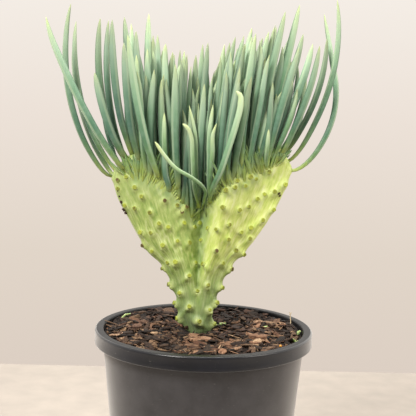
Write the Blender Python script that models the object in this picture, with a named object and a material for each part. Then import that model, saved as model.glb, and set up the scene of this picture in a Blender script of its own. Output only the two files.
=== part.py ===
"""A crested senecio in a plastic nursery pot.

The stem has grown into a flat, pleated fan that stands in bark potting mix. Pencil-shaped leaves
grow in rows along its crest. The pot is one thin moulding with a turned-down rim band.
All sizes are in metres, +Z is up, and the pot stands on z = 0 with its axis on the Z axis.
"""

import math

import bpy
import numpy as np

# Nursery pot
POT_HEIGHT = 0.190
RIM_DIAMETER = 0.200
BASE_DIAMETER = 0.151
POT_WALL = 0.0018
POT_FLOOR = 0.0024
BAND_HEIGHT = 0.013
BAND_REACH = 0.0076
BAND_ROUNDING = 0.0015
BASE_CHAMFER = 0.0020
DRAIN_HOLES = 8
DRAIN_HOLE_DIAMETER = 0.014
DRAIN_HOLE_INSET = 0.013

# Potting mix and the bark on it
HEADSPACE = 0.005
MIX_SWELL = 0.0009
SEAT_GAP = 0.0003

# Stem
FOOT_X = -0.0075
FAN_X = -0.0050
FOOT_WIDTH = 0.0265
FOOT_DEPTH = 0.0240
FOOT_IN_MIX = 0.014
FAN_WIDTH = 0.164
FAN_THICKNESS = 0.0190
CROWN_HEIGHT = 0.0140
PLEAT_DEPTH = 0.0130
SCAR_DIAMETER = 0.0040
SCAR_REACH = 0.0032

# Leaves
LEAF_DIAMETER = 0.0061
LEAF_FOOT_GAP = 0.0004

MIX_TOP = POT_HEIGHT - HEADSPACE

# How the fan widens with height, as (share of height, share of the widening)
SPREAD = ((0, 0), (0.16, 0.035), (0.30, 0.12), (0.43, 0.26), (0.54, 0.48), (0.71, 0.71), (0.89, 0.91), (1, 1))
# Height of the crest above the mix from the left end to the right end, as (place, metres)
CREST = ((-1, 0.153), (-0.80, 0.166), (-0.52, 0.160), (-0.26, 0.143), (0.02, 0.124),
         (0.12, 0.138), (0.24, 0.152), (0.55, 0.166), (0.86, 0.176), (1, 0.163))
# How far the crest folds back (+) or forward (-) along its length, as shares of the pleat depth
PLEAT = ((-1, 0.2), (-0.72, -0.35), (-0.40, -0.30), (-0.14, 0.35), (0.03, 1.0),
         (0.12, 0.1), (0.22, -0.7), (0.50, -0.45), (0.80, 0.15), (1, 0.2))


def through(stations, at):
    """Read a smooth curve through (place, value) stations at the given places."""
    place, value = np.array(stations, float).T
    at = np.asarray(at, float)
    slope = np.gradient(value, place)
    k = np.clip(np.searchsorted(place, at, side="right") - 1, 0, len(place) - 2)
    step = place[k + 1] - place[k]
    t = np.clip((at - place[k]) / step, 0, 1)
    ends = value[k] * (2 * t**3 - 3 * t**2 + 1) + value[k + 1] * (3 * t**2 - 2 * t**3)
    return ends + step * (slope[k] * (t**3 - 2 * t**2 + t) + slope[k + 1] * (t**3 - t**2))


def ease(t):
    """Go from 0 to 1 with level ends."""
    t = np.clip(t, 0, 1)
    return t * t * (3 - 2 * t)


def material(name, colour, roughness, metallic=0.0):
    """A plain Principled material of one colour."""
    made = bpy.data.materials.new(name)
    made.use_nodes = True
    shader = made.node_tree.nodes["Principled BSDF"]
    shader.inputs["Base Color"].default_value = (*colour, 1)
    shader.inputs["Roughness"].default_value = roughness
    shader.inputs["Metallic"].default_value = metallic
    made.diffuse_color = (*colour, 1)
    return made


def add_mesh(name, points, faces, surface, smooth=True):
    """Add a mesh object whose place is in its mesh."""
    mesh = bpy.data.meshes.new(name)
    mesh.from_pydata([tuple(map(float, p)) for p in points], [], faces)
    mesh.validate()
    mesh.polygons.foreach_set("use_smooth", [smooth] * len(mesh.polygons))
    obj = bpy.data.objects.new(name, mesh)
    if surface:
        mesh.materials.append(surface)
    bpy.context.scene.collection.objects.link(obj)
    return obj


def ring_faces(rings, around, first=0):
    """Quads between stacked rings whose points run anticlockwise seen from above."""
    faces = []
    for row in range(rings - 1):
        low = first + row * around
        for k in range(around):
            after = (k + 1) % around
            faces.append((low + k, low + after, low + around + after, low + around + k))
    return faces


def cut(body, cutter):
    """Cut one mesh from another, and keep the cutter as a hidden guide."""
    cutter.hide_render = True
    cutter.display_type = "WIRE"
    step = body.modifiers.new("cut", "BOOLEAN")
    step.operation = "DIFFERENCE"
    step.solver = "EXACT"
    step.object = cutter


for old in list(bpy.data.objects):
    bpy.data.objects.remove(old, do_unlink=True)

pot_plastic = material("grey moulded plastic", (0.055, 0.053, 0.056), 0.55)
mix_bark = material("composted bark mix", (0.045, 0.025, 0.016), 0.95)
chip_bark = material("pine bark", (0.16, 0.075, 0.045), 0.90)
stem_skin = material("succulent stem skin", (0.45, 0.55, 0.18), 0.55)
leaf_skin = material("bloom-covered leaf skin", (0.17, 0.30, 0.22), 0.60)


# Nursery pot: a thin wall, a flat floor and a rim band turned down outside the wall
def wall_radius(z):
    """Outer radius of the tapered wall."""
    top = RIM_DIAMETER / 2 - BAND_REACH
    low = BASE_DIAMETER / 2
    return low + (top - low) * z / (POT_HEIGHT - BAND_HEIGHT)


def inside_radius(z):
    return wall_radius(z) - POT_WALL


def pot_profile():
    """Radius and height round the section, from the floor's inside to its underside."""
    rim = RIM_DIAMETER / 2
    band_foot = POT_HEIGHT - BAND_HEIGHT
    web = POT_HEIGHT - POT_WALL
    return (
        (inside_radius(POT_FLOOR), POT_FLOOR),
        (inside_radius(POT_HEIGHT / 2), POT_HEIGHT / 2),
        (inside_radius(web), web),
        (inside_radius(POT_HEIGHT) + BAND_ROUNDING, POT_HEIGHT),
        (rim - BAND_ROUNDING, POT_HEIGHT),
        (rim - BAND_ROUNDING / 3, POT_HEIGHT - BAND_ROUNDING / 3),
        (rim, POT_HEIGHT - BAND_ROUNDING),
        (rim, band_foot + BAND_ROUNDING / 2),
        (rim - BAND_ROUNDING / 2, band_foot),
        (rim - POT_WALL, band_foot),
        (rim - POT_WALL, web),
        (wall_radius(web), web),
        (wall_radius(POT_HEIGHT / 2), POT_HEIGHT / 2),
        (wall_radius(BASE_CHAMFER), BASE_CHAMFER),
        (wall_radius(0) - BASE_CHAMFER / 2, 0),
    )


POT_SIDES = 48
points = []
turns = [2 * math.pi * k / POT_SIDES for k in range(POT_SIDES)]
profile = pot_profile()
for radius, height in profile:
    points += [(radius * math.cos(a), radius * math.sin(a), height) for a in turns]
faces = [tuple(reversed(face)) for face in ring_faces(len(profile), POT_SIDES)]
faces.append(tuple(range(POT_SIDES)))
last_ring = (len(profile) - 1) * POT_SIDES
faces.append(tuple(last_ring + k for k in reversed(range(POT_SIDES))))
pot = add_mesh("nursery_pot", points, faces, pot_plastic)

points = []
faces = []
HOLE_SIDES = 12
for hole in range(DRAIN_HOLES):
    turn = 2 * math.pi * (hole + 0.5) / DRAIN_HOLES
    out = BASE_DIAMETER / 2 - DRAIN_HOLE_INSET
    first = len(points)
    for height in (-POT_FLOOR, 2 * POT_FLOOR):
        for k in range(HOLE_SIDES):
            a = 2 * math.pi * k / HOLE_SIDES
            x = out * math.cos(turn) + DRAIN_HOLE_DIAMETER / 2 * math.cos(a)
            y = out * math.sin(turn) + DRAIN_HOLE_DIAMETER / 2 * math.sin(a)
            points.append((x, y, height))
    faces += ring_faces(2, HOLE_SIDES, first)
    faces.append(tuple(first + k for k in reversed(range(HOLE_SIDES))))
    faces.append(tuple(first + HOLE_SIDES + k for k in range(HOLE_SIDES)))
cut(pot, add_mesh("drain_hole_cutters", points, faces, None))


# Potting mix: it fills the pot to the headspace and holds the foot of the stem in a socket
def mix_height(x, y):
    """Height of the mix, with low swells that die out at the stem's foot."""
    near = ease((np.hypot(x - FOOT_X, y) - FOOT_WIDTH) / FOOT_WIDTH)
    swell = np.sin(95 * x + 1.1) * np.cos(80 * y - 0.5) + 0.9 * np.sin(62 * y + 0.6)
    return MIX_TOP + MIX_SWELL * near * swell


def foot_ring(turn, clearance=0.0):
    """The foot's outline, an ellipse, grown by a clearance."""
    x = FOOT_X + (FOOT_WIDTH / 2 + clearance) * np.cos(turn)
    y = (FOOT_DEPTH / 2 + clearance) * np.sin(turn)
    return x, y


def ring_turns(sides):
    """Angles round the stem, closer together in the middle of its front and back."""
    even = np.arange(sides) * 2 * np.pi / sides
    return even + 0.12 * np.sin(2 * even)


STEM_SIDES = 52
MIX_ROWS = 7
turn = np.arange(STEM_SIDES) * 2 * np.pi / STEM_SIDES
socket_x, socket_y = foot_ring(ring_turns(STEM_SIDES), SEAT_GAP)
level = np.ones(STEM_SIDES)
socket_floor = MIX_TOP - FOOT_IN_MIX - SEAT_GAP
rings = [np.stack([socket_x, socket_y, socket_floor * level], 1)]
edge_radius = inside_radius(MIX_TOP) - SEAT_GAP - MIX_SWELL
for row in range(MIX_ROWS):
    share = row / (MIX_ROWS - 1)
    x = socket_x + share * (edge_radius * np.cos(turn) - socket_x)
    y = socket_y + share * (edge_radius * np.sin(turn) - socket_y)
    rings.append(np.stack([x, y, mix_height(x, y)], 1))
for height, drop in ((MIX_TOP - 4 * MIX_SWELL, 0), (POT_FLOOR + SEAT_GAP, 0)):
    radius = inside_radius(height) - SEAT_GAP - drop
    rings.append(np.stack([radius * np.cos(turn), radius * np.sin(turn), height * level], 1))
faces = [tuple(reversed(face)) for face in ring_faces(len(rings), STEM_SIDES)]
faces.append(tuple(range(STEM_SIDES)))
last_ring = (len(rings) - 1) * STEM_SIDES
faces.append(tuple(last_ring + k for k in reversed(range(STEM_SIDES))))
add_mesh("potting_mix", np.concatenate(rings), faces, mix_bark)


# Crested stem: an elliptical foot that widens and flattens into a pleated ribbon with a round crown
def fan_sheet(along, rise):
    """Middle of the fan's thickness, at a place along the crest (-1 to 1) and a share of the rise."""
    half = FOOT_WIDTH / 2 + (FAN_WIDTH - FOOT_WIDTH) / 2 * through(SPREAD, rise)
    x = FOOT_X + (FAN_X - FOOT_X) * rise + along * half
    y = PLEAT_DEPTH * through(PLEAT, along) * ease((rise - 0.12) / 0.8)
    z = MIX_TOP + rise * (through(CREST, along) - CROWN_HEIGHT)
    return x, y, z


def half_depth(along, rise):
    """Half the thickness: an ellipse at the foot, a flat ribbon with round ends at the crest."""
    middle = FOOT_DEPTH / 2 + (FAN_THICKNESS - FOOT_DEPTH) / 2 * ease(rise / 0.6)
    roundness = 0.5 - 0.28 * ease(rise / 0.7)
    return middle * np.maximum(1 - along**2, 0) ** roundness


def crown_point(along, across):
    """A point on the round crown, where across runs from -90 degrees (front) to 90 (back)."""
    x, y, z = fan_sheet(along, 1.0)
    bend = np.radians(across)
    lift = CROWN_HEIGHT * (0.25 + 0.75 * np.maximum(1 - along**2, 0) ** 0.4)
    return np.array([x, y + half_depth(along, 1.0) * np.sin(bend), z + lift * np.cos(bend)])


def crown_normal(along, across):
    """Unit vector out of the crown."""
    run = crown_point(min(along + 0.01, 1), across) - crown_point(max(along - 0.01, -1), across)
    turn = crown_point(along, across + 1) - crown_point(along, across - 1)
    out = np.cross(run, turn)
    return out / np.linalg.norm(out)


theta = ring_turns(STEM_SIDES)
along = np.cos(theta)
side = np.where(np.sin(theta) < 0, -1.0, 1.0)
rings = []
foot_x, foot_y = foot_ring(theta)
for depth in (FOOT_IN_MIX, FOOT_IN_MIX / 2):
    rings.append(np.stack([foot_x, foot_y, np.full(STEM_SIDES, MIX_TOP - depth)], 1))
for rise in np.linspace(0, 1, 15):
    x, y, z = fan_sheet(along, rise)
    rings.append(np.stack([x, y + side * half_depth(along, rise), z], 1))
for across in (72, 54, 36, 18, 6):
    rings.append(np.array([crown_point(a, s * across) for a, s in zip(along, side)]))
faces = ring_faces(len(rings), STEM_SIDES)
faces.append(tuple(reversed(range(STEM_SIDES))))
first = (len(rings) - 1) * STEM_SIDES
half = STEM_SIDES // 2
faces.append((first, first + 1, first + STEM_SIDES - 1))
for k in range(1, half - 1):
    faces.append((first + k, first + k + 1, first + STEM_SIDES - k - 1, first + STEM_SIDES - k))
faces.append((first + half - 1, first + half, first + half + 1))
stem = add_mesh("crested_stem", np.concatenate(rings), faces, stem_skin)


def fan_face(along, rise, side):
    """A point on the fan's front (side -1) or back (side 1), with the unit vector out of it."""
    def at(a, r):
        x, y, z = fan_sheet(a, r)
        return np.array([x, y + side * half_depth(a, r), z])
    run = at(along + 0.01, rise) - at(along - 0.01, rise)
    climb = at(along, rise + 0.01) - at(along, rise - 0.01)
    out = np.cross(run, climb) * -side
    return at(along, rise), out / np.linalg.norm(out)


def scar_places():
    """Leaf scars in staggered rows, closer together low on the stem."""
    chance = np.random.default_rng(7)
    rows = 11
    for row in range(rows):
        rise = 0.07 + 0.80 * row / (rows - 1)
        count = int(round(2 + 5 * through(SPREAD, rise)))
        for side in (-1, 1):
            for k in range(count):
                place = (k + 0.5 + 0.5 * (row % 2)) / (count + 0.5) * 2 - 1
                place = 0.90 * place + chance.uniform(-0.25, 0.25) / count
                lift = chance.uniform(-0.02, 0.02)
                yield float(np.clip(place, -0.93, 0.93)), rise + lift, side


SCAR_SIDES = 6
points = []
faces = []
for place, rise, side in scar_places():
    foot, out = fan_face(place, rise, side)
    axis = out + np.array([0, 0, 0.55])
    axis /= np.linalg.norm(axis)
    first_side = np.cross(axis, [0.3, 0.1, 1.0])
    first_side /= np.linalg.norm(first_side)
    second_side = np.cross(axis, first_side)
    first = len(points)
    for reach, share in ((-0.6, 1.2), (1.0, 0.8)):
        for k in range(SCAR_SIDES):
            a = 2 * math.pi * k / SCAR_SIDES
            off = first_side * math.cos(a) + second_side * math.sin(a)
            points.append(foot + axis * reach * SCAR_REACH + off * share * SCAR_DIAMETER / 2)
    faces += ring_faces(2, SCAR_SIDES, first)
    faces.append(tuple(first + k for k in reversed(range(SCAR_SIDES))))
    faces.append(tuple(first + SCAR_SIDES + k for k in range(SCAR_SIDES)))
scars = add_mesh("scar_guides", points, faces, None)
scars.hide_render = True
scars.display_type = "WIRE"
join = stem.modifiers.new("leaf scars", "BOOLEAN")
join.operation = "UNION"
join.solver = "EXACT"
join.object = scars


# Leaves: each is a round pencil, narrow at its foot and pointed at its tip
LEAF_SIDES = 7
LEAF_KINK = 0.006
# Widths along a leaf, as (share of the length, share of the diameter)
LEAF_TAPER = ((0.015, 0.42), (0.05, 0.72), (0.13, 0.95), (0.40, 1.0), (0.68, 0.88), (0.86, 0.60), (0.955, 0.30))


def leaf_spine(along, across, length, lean, tilt, steps=60):
    """Middle line of a leaf: it starts square to the crown, then bends evenly from foot to tip.

    lean and tilt are (at the foot, at the tip) in degrees from upright, to the right and to the back. A third
    number in lean is the share of its length after which the leaf stays straight.
    """
    place = np.linspace(0, 1, steps + 1)
    out = crown_normal(along, across)
    turned = np.minimum(place / (lean[2] if len(lean) > 2 else 1), 1)
    sideways = np.radians(lean[0] + (lean[1] - lean[0]) * turned)
    backward = np.radians(tilt[0] + (tilt[1] - tilt[0]) * place)
    grown = np.stack([np.sin(sideways) * np.cos(backward), np.sin(backward),
                      np.cos(sideways) * np.cos(backward)], 1)
    square = np.exp(-place * length / LEAF_KINK)[:, None]
    heading = grown * (1 - square) + out * square
    heading /= np.linalg.norm(heading, axis=1)[:, None]
    middle = (heading[1:] + heading[:-1]) / 2 * length / steps
    foot = crown_point(along, across) + out * LEAF_FOOT_GAP
    return foot + np.concatenate([np.zeros((1, 3)), np.cumsum(middle, 0)]), heading


def add_leaf(name, along, across, length, lean, tilt, width=1.0):
    """Add one leaf as rings round its spine, closed with a point at each end."""
    spine, heading = leaf_spine(along, across, length, lean, tilt)
    steps = len(spine) - 1
    points = [spine[0]]
    for place, share in LEAF_TAPER:
        at = place * steps
        k = min(int(at), steps - 1)
        middle = spine[k] + (spine[k + 1] - spine[k]) * (at - k)
        first_side = np.array([1.0, 0, 0]) - heading[k] * heading[k][0]
        first_side /= np.linalg.norm(first_side)
        second_side = np.cross(heading[k], first_side)
        radius = share * width * LEAF_DIAMETER / 2
        for turn in np.arange(LEAF_SIDES) * 2 * np.pi / LEAF_SIDES:
            points.append(middle + radius * (first_side * np.cos(turn) + second_side * np.sin(turn)))
    points.append(spine[-1])
    rings = len(LEAF_TAPER)
    faces = ring_faces(rings, LEAF_SIDES, 1)
    last = 1 + (rings - 1) * LEAF_SIDES
    for k in range(LEAF_SIDES):
        after = (k + 1) % LEAF_SIDES
        faces.append((0, 1 + after, 1 + k))
        faces.append((last + k, last + after, len(points) - 1))
    add_mesh(name, points, faces, leaf_skin)


# Each leaf: place along the crest, place across it, length in mm, lean and tilt (foot, tip)
LEFT_LEAVES = (
    (-1.00, -20, 165, (-36, 12), (-4, 0)),
    (-0.96, 35, 143, (-35, 5), (0, 4)),
    (-0.98, 75, 128, (-33, -3), (2, 8)),
    (-0.86, 5, 129, (-24, 6), (-3, 1)),
    (-0.82, -35, 82, (-26, -12), (-6, -2)),
    (-0.85, 65, 135, (-21, 5), (3, 7)),
    (-0.77, -12, 121, (-16, 0), (-4, 0)),
    (-0.72, 35, 126, (-6, -6), (0, 4)),
    (-0.66, 75, 132, (-8, -4), (6, 10)),
    (-0.68, -62, 107, (-11, -3), (-6, 0)),
    (-0.62, 0, 112, (-10, -2), (1, 5)),
    (-0.54, 40, 135, (-7, 1), (1, 5)),
    (-0.53, -38, 102, (-6, -2), (-2, 2)),
    (-0.475, -88, 130, (-17, -7), (-12, -2)),
    (-0.44, 5, 117, (-6, -2), (1, 5)),
    (-0.38, 50, 120, (-4, 0), (2, 6)),
    (-0.36, -35, 115, (-6, -2), (-3, 1)),
    (-0.28, 0, 113, (-6, -2), (0, 4)),
    (-0.27, -75, 114, (-4, 0), (-10, -2)),
)
MIDDLE_LEAVES = (
    (-0.20, 50, 127, (-3, 1), (0, 4)),
    (-0.17, -35, 119, (-8, -2), (-3, 1)),
    (-0.11, 20, 129, (-1, 1), (-1, 1)),
    (-0.07, -60, 116, (2, 2), (-20, -3)),
    (-0.01, 62, 152, (-1, 3), (-2, 1)),
    (0.075, -15, 136, (-1, 4), (-4, 0)),
    (0.14, 45, 132, (3, 7), (0, 4)),
)
RIGHT_LEAVES = (
    (0.20, -5, 125, (5, 11), (0, 4)),
    (0.27, 45, 120, (5, 9), (5, 9)),
    (0.29, -45, 114, (6, 10), (-2, 2)),
    (0.36, 5, 121, (6, 10), (2, 6)),
    (0.41, -60, 120, (3, 7), (-5, -1)),
    (0.45, 50, 118, (8, 12), (4, 8)),
    (0.49, -8, 114, (8, 12), (-2, 2)),
    (0.56, 50, 125, (9, 13), (3, 7)),
    (0.60, -45, 132, (8, 12), (-4, 0)),
    (0.65, 12, 108, (14, 18), (-1, 3)),
    (0.72, -30, 131, (13, 11), (-3, 1)),
    (0.76, 45, 111, (22, 12), (2, 6)),
    (0.82, -5, 98, (27, 11), (-3, 1)),
    (0.86, -62, 105, (30, 6), (-8, -4)),
    (0.90, 40, 116, (40, -1), (-2, 1)),
    (0.96, -8, 156, (39, -9), (-2, 2)),
    (1.00, 50, 162, (58, -11, 0.64), (5, 8)),
)
for part, leaves in (("left", LEFT_LEAVES), ("middle", MIDDLE_LEAVES), ("right", RIGHT_LEAVES)):
    for number, (place, across, length, lean, tilt) in enumerate(leaves, 1):
        add_leaf(f"leaf_{part}_{number:02d}", place, across, length / 1000, lean, tilt)
add_leaf("leaf_long_leaning", -0.84, -88, 0.151, (-33, -21), (-14, 0))
add_leaf("leaf_club_shaped", 0.09, -80, 0.122, (44, 0), (-44, 7), 1.15)
add_leaf("leaf_curled", 0.005, -75, 0.089, (-34, -40), (-68, 2), 0.75)


# Bark chips: flat broken flakes that lie on the mix
CHIP_CORNERS = 7


def add_chip(name, bearing, outward, length, width, thickness, spin, seed):
    """Add one flake, seated on the mix, at a bearing and a share of the way from stem to wall."""
    chance = np.random.default_rng(seed)
    turn = (np.arange(CHIP_CORNERS) + chance.uniform(-0.28, 0.28, CHIP_CORNERS)) * 2 * np.pi / CHIP_CORNERS
    reach = chance.uniform(0.86, 1.08, CHIP_CORNERS)
    flat = np.stack([reach * np.cos(turn) * length / 2, reach * np.sin(turn) * width / 2], 1)
    middle = flat.mean(0)
    rows = []
    for level, share in ((0, 0.90), (0.45, 1.0), (1, 0.84)):
        rise = level * thickness * (1 + 0.25 * chance.uniform(-1, 1, CHIP_CORNERS) * (level == 1))
        rows.append(np.column_stack([middle + (flat - middle) * share, rise]))
    points = np.concatenate(rows)
    swing = np.radians(spin)
    points[:, :2] = points[:, :2] @ np.array([[np.cos(swing), np.sin(swing)], [-np.sin(swing), np.cos(swing)]])
    nearest = FOOT_WIDTH / 2 + length / 2 + 0.003
    farthest = inside_radius(MIX_TOP) - length / 2 - 0.003
    out = nearest + (farthest - nearest) * outward
    points[:, 0] += out * np.cos(np.radians(bearing)) + FOOT_X * (1 - outward)
    points[:, 1] += out * np.sin(np.radians(bearing))
    under = points[:CHIP_CORNERS]
    inner = under * [0.5, 0.5, 1] + under.mean(0) * [0.5, 0.5, 0]
    tried = np.concatenate([under, inner, points[CHIP_CORNERS:2 * CHIP_CORNERS] * [1, 1, 0]])
    points[:, 2] += mix_height(tried[:, 0], tried[:, 1]).max() + SEAT_GAP
    faces = ring_faces(3, CHIP_CORNERS)
    faces.append(tuple(reversed(range(CHIP_CORNERS))))
    top = 2 * CHIP_CORNERS
    faces += [(top, top + k, top + k + 1) for k in range(1, CHIP_CORNERS - 1)]
    add_mesh(name, points, faces, chip_bark, smooth=False)


CHIPS = (
    ("front", -84, 0.12, 22, 12, 3.5, 8),
    ("front_low", -96, 0.62, 16, 9, 3.0, -15),
    ("front_right", -62, 0.55, 17, 13, 4.0, 30),
    ("right_front", -24, 0.60, 19, 13, 4.5, -10),
    ("right_low", -42, 0.72, 14, 10, 3.5, 25),
    ("right", 2, 0.45, 15, 8, 3.0, 60),
    ("back_right", 48, 0.80, 21, 12, 4.0, -20),
    ("back", 97, 0.70, 17, 10, 3.5, 15),
    ("back_left", 137, 0.72, 18, 11, 4.0, 40),
    ("left", 183, 0.60, 16, 11, 4.5, 80),
    ("left_front", 226, 0.42, 19, 11, 3.5, -35),
)
for number, (where, bearing, outward, length, width, thickness, spin) in enumerate(CHIPS):
    size = (length / 1000, width / 1000, thickness / 1000)
    add_chip(f"bark_chip_{where}", bearing, outward, *size, spin, number)
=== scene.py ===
"""A crested senecio in a plastic nursery pot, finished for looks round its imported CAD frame."""

import math

import bmesh
import bpy
import numpy as np
from mathutils import Matrix, Vector


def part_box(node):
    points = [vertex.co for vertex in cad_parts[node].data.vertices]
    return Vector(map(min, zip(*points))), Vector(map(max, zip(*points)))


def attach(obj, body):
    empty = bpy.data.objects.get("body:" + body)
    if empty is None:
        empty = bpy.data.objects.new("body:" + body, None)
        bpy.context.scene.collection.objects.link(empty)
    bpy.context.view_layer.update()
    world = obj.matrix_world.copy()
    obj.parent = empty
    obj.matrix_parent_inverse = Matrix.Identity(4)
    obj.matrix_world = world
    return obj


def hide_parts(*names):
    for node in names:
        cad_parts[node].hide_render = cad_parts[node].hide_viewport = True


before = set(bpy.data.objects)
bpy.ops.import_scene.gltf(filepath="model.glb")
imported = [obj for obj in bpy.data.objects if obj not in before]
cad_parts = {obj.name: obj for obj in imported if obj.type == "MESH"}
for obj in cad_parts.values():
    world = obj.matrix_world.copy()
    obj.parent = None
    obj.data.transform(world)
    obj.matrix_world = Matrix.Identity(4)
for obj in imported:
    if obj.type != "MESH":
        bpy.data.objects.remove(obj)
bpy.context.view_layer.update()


# Studio: a pale board to stand on and a plain cream surround, lit by one large soft window at the
# upper left, a weaker one at the right and the surround itself. The camera stands at the pot's front,
# a little above the crest, and looks slightly down.
def linear(colour):
    """A colour given as sRGB hex, as linear red, green, blue and alpha."""
    channels = np.array([int(colour[k:k + 2], 16) for k in (1, 3, 5)]) / 255
    low = channels / 12.92
    high = ((channels + 0.055) / 1.055) ** 2.4
    return (*np.where(channels <= 0.04045, low, high).tolist(), 1.0)


def link(tree, source, socket):
    """Link a socket, or a node's first output, to an input socket."""
    tree.links.new(source.outputs[0] if isinstance(source, bpy.types.Node) else source, socket)


def add_node(tree, kind, inputs=None, stops=None, **settings):
    """Add a shader node with its settings, its inputs (values, or what to link) and a ramp's (place, hex) stops."""
    made = tree.nodes.new("ShaderNode" + kind)
    for name, value in settings.items():
        setattr(made, name, value)
    for place, value in (inputs or {}).items():
        if isinstance(value, (bpy.types.Node, bpy.types.NodeSocket)):
            link(tree, value, made.inputs[place])
        else:
            made.inputs[place].default_value = value
    if stops:
        ramp = made.color_ramp
        while len(ramp.elements) < len(stops):
            ramp.elements.new(0.5)
        for element, (place, value) in zip(ramp.elements, stops):
            element.position = place
            element.color = linear(value)
    return made


def new_material(name, roughness, **sockets):
    """A Principled material with constant sockets, its node tree, its shader and its Object coordinates."""
    made = bpy.data.materials.new(name)
    made.use_nodes = True
    shader = made.node_tree.nodes["Principled BSDF"]
    shader.inputs["Roughness"].default_value = roughness
    for socket, value in sockets.items():
        shader.inputs[socket.replace("_", " ")].default_value = value
    return made, made.node_tree, shader, add_node(made.node_tree, "TexCoord").outputs["Object"]


def coat(tree, shader, colour, height=None, strength=0.0, depth=0.0):
    """Link a colour to the shader, and a bump of this strength and depth in metres from a height."""
    link(tree, colour, shader.inputs["Base Color"])
    if height:
        link(tree, add_node(tree, "Bump", {"Height": height, "Strength": strength, "Distance": depth}),
             shader.inputs["Normal"])


def speckled(name, roughness, scale, detail, stops, strength=0.0, depth=0.0, noise_roughness=0.5, **sockets):
    """A material whose colour and bump both follow one fine noise, with this many cells to the metre."""
    made, tree, shader, place = new_material(name, roughness, **sockets)
    noise = add_node(tree, "TexNoise", {"Vector": place, "Scale": scale, "Detail": detail,
                                        "Roughness": noise_roughness})
    coat(tree, shader, add_node(tree, "ValToRGB", {0: noise}, stops=stops), noise if strength else None,
           strength, depth)
    return made


CAMERA_PLACE = (0.0, -0.800, 0.3934)
CAMERA_DOWN = math.radians(6.607)
CAMERA_RIGHT = math.radians(0.10)
CAMERA_ROLL = math.radians(1.373)
lens = bpy.data.cameras.new("camera")
lens.lens = 76.43
lens.sensor_width = 36.0
camera = bpy.data.objects.new("camera", lens)
turned = Matrix.Rotation(-CAMERA_RIGHT, 4, "Z") @ Matrix.Rotation(math.pi / 2 - CAMERA_DOWN, 4, "X")
camera.matrix_world = Matrix.Translation(CAMERA_PLACE) @ turned @ Matrix.Rotation(CAMERA_ROLL, 4, "Z")
bpy.context.scene.collection.objects.link(camera)
bpy.context.scene.camera = camera
bpy.context.scene.view_settings.view_transform = "Standard"

world = bpy.data.worlds.new("cream surround")
bpy.context.scene.world = world
world.use_nodes = True
tree = world.node_tree
direction = add_node(tree, "TexCoord").outputs["Generated"]
facing = add_node(tree, "SeparateXYZ", {0: direction})
share = add_node(tree, "MapRange", {0: facing.outputs["Z"], 1: -0.32, 2: 0.20})
shade = add_node(tree, "ValToRGB", {0: share},
                 stops=((0.0, "#e0d2c6"), (0.30, "#e6dacd"), (0.60, "#f2e7dd"), (1.0, "#fffaf3")))
link(tree, shade, tree.nodes["Background"].inputs["Color"])
# The surround glows more from behind and above than from the front, where the room is dimmer
from_back = add_node(tree, "MapRange", {0: facing.outputs["Y"], 1: -0.85, 2: 0.35, 3: 0.40, 4: 1.15})
seen = add_node(tree, "LightPath").outputs["Is Camera Ray"]
strength = add_node(tree, "Mix", {0: seen, 2: from_back, 3: 0.95})
link(tree, strength, tree.nodes["Background"].inputs["Strength"])

SOFT_LIGHTS = (
    ("window_left", (-0.75, -1.0, 1.40), 0.45, 29.0, "#fffaf2"),
    ("window_right", (1.2, -0.6, 1.1), 0.8, 13.0, "#fff6ea"),
    ("top_panel", (0.1, 0.3, 1.6), 0.8, 15.0, "#fffdf8"),
)
for name, place, size, power, colour in SOFT_LIGHTS:
    lamp = bpy.data.lights.new(name, "AREA")
    lamp.size = size
    lamp.energy = power
    lamp.color = linear(colour)[:3]
    held = bpy.data.objects.new(name, lamp)
    held.location = place
    held.rotation_euler = (Vector((0, 0, 0.30)) - Vector(place)).to_track_quat("-Z", "Y").to_euler()
    bpy.context.scene.collection.objects.link(held)

# Painted board: matt cream paint, with faint roller mottling
BOARD_HALF = 0.495
board_paint = speckled("matt cream board paint", 0.8, 30.0, 4.0, ((0.3, "#aaa29a"), (0.7, "#b4aba2")))
mesh = bpy.data.meshes.new("painted_board")
corners = [(x * BOARD_HALF, y * BOARD_HALF, -0.0003) for x, y in ((-1, -1), (1, -1), (1, 1), (-1, 1))]
mesh.from_pydata(corners, [], [(0, 1, 2, 3)])
mesh.materials.append(board_paint)
board = bpy.data.objects.new("painted_board", mesh)
bpy.context.scene.collection.objects.link(board)


# Nursery pot: one injection-moulded piece of dark grey polypropylene. The thin wall tapers, the rim band
# turns down outside it, and the flat floor has a ring of round drain holes.
POT_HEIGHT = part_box("nursery_pot")[1].z
RIM_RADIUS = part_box("nursery_pot")[1].x
BASE_RADIUS = 0.0755
POT_WALL = 0.0018
POT_FLOOR = 0.0024
BAND_HEIGHT = 0.013
BAND_REACH = 0.0076
DRAIN_RING = BASE_RADIUS - 0.013
DRAIN_RADIUS = 0.007
POT_SIDES = 192


def add_piece(name, points, faces, materials, smooth=True):
    """Add a mesh piece from its points and its arrays of faces, and let it ride on the root body."""
    mesh = bpy.data.meshes.new(name)
    mesh.from_pydata(points.reshape(-1, 3).tolist(), [], [face for part in faces for face in part.tolist()])
    mesh.polygons.foreach_set("use_smooth", [smooth] * len(mesh.polygons))
    for material in materials:
        mesh.materials.append(material)
    piece = bpy.data.objects.new(name, mesh)
    bpy.context.scene.collection.objects.link(piece)
    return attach(piece, "root")


def grid_faces(rows, columns, first=0):
    """Quads of a grid of points stored row by row, closed round its columns."""
    across = np.arange(columns)
    low = first + np.arange(rows - 1)[:, None] * columns
    after = (across + 1) % columns
    corners = np.stack([low + across, low + after, low + columns + after, low + columns + across], -1)
    return corners.reshape(-1, 4)


def circle(sides):
    """Angles evenly spaced once round."""
    return np.arange(sides) * 2 * np.pi / sides


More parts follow.
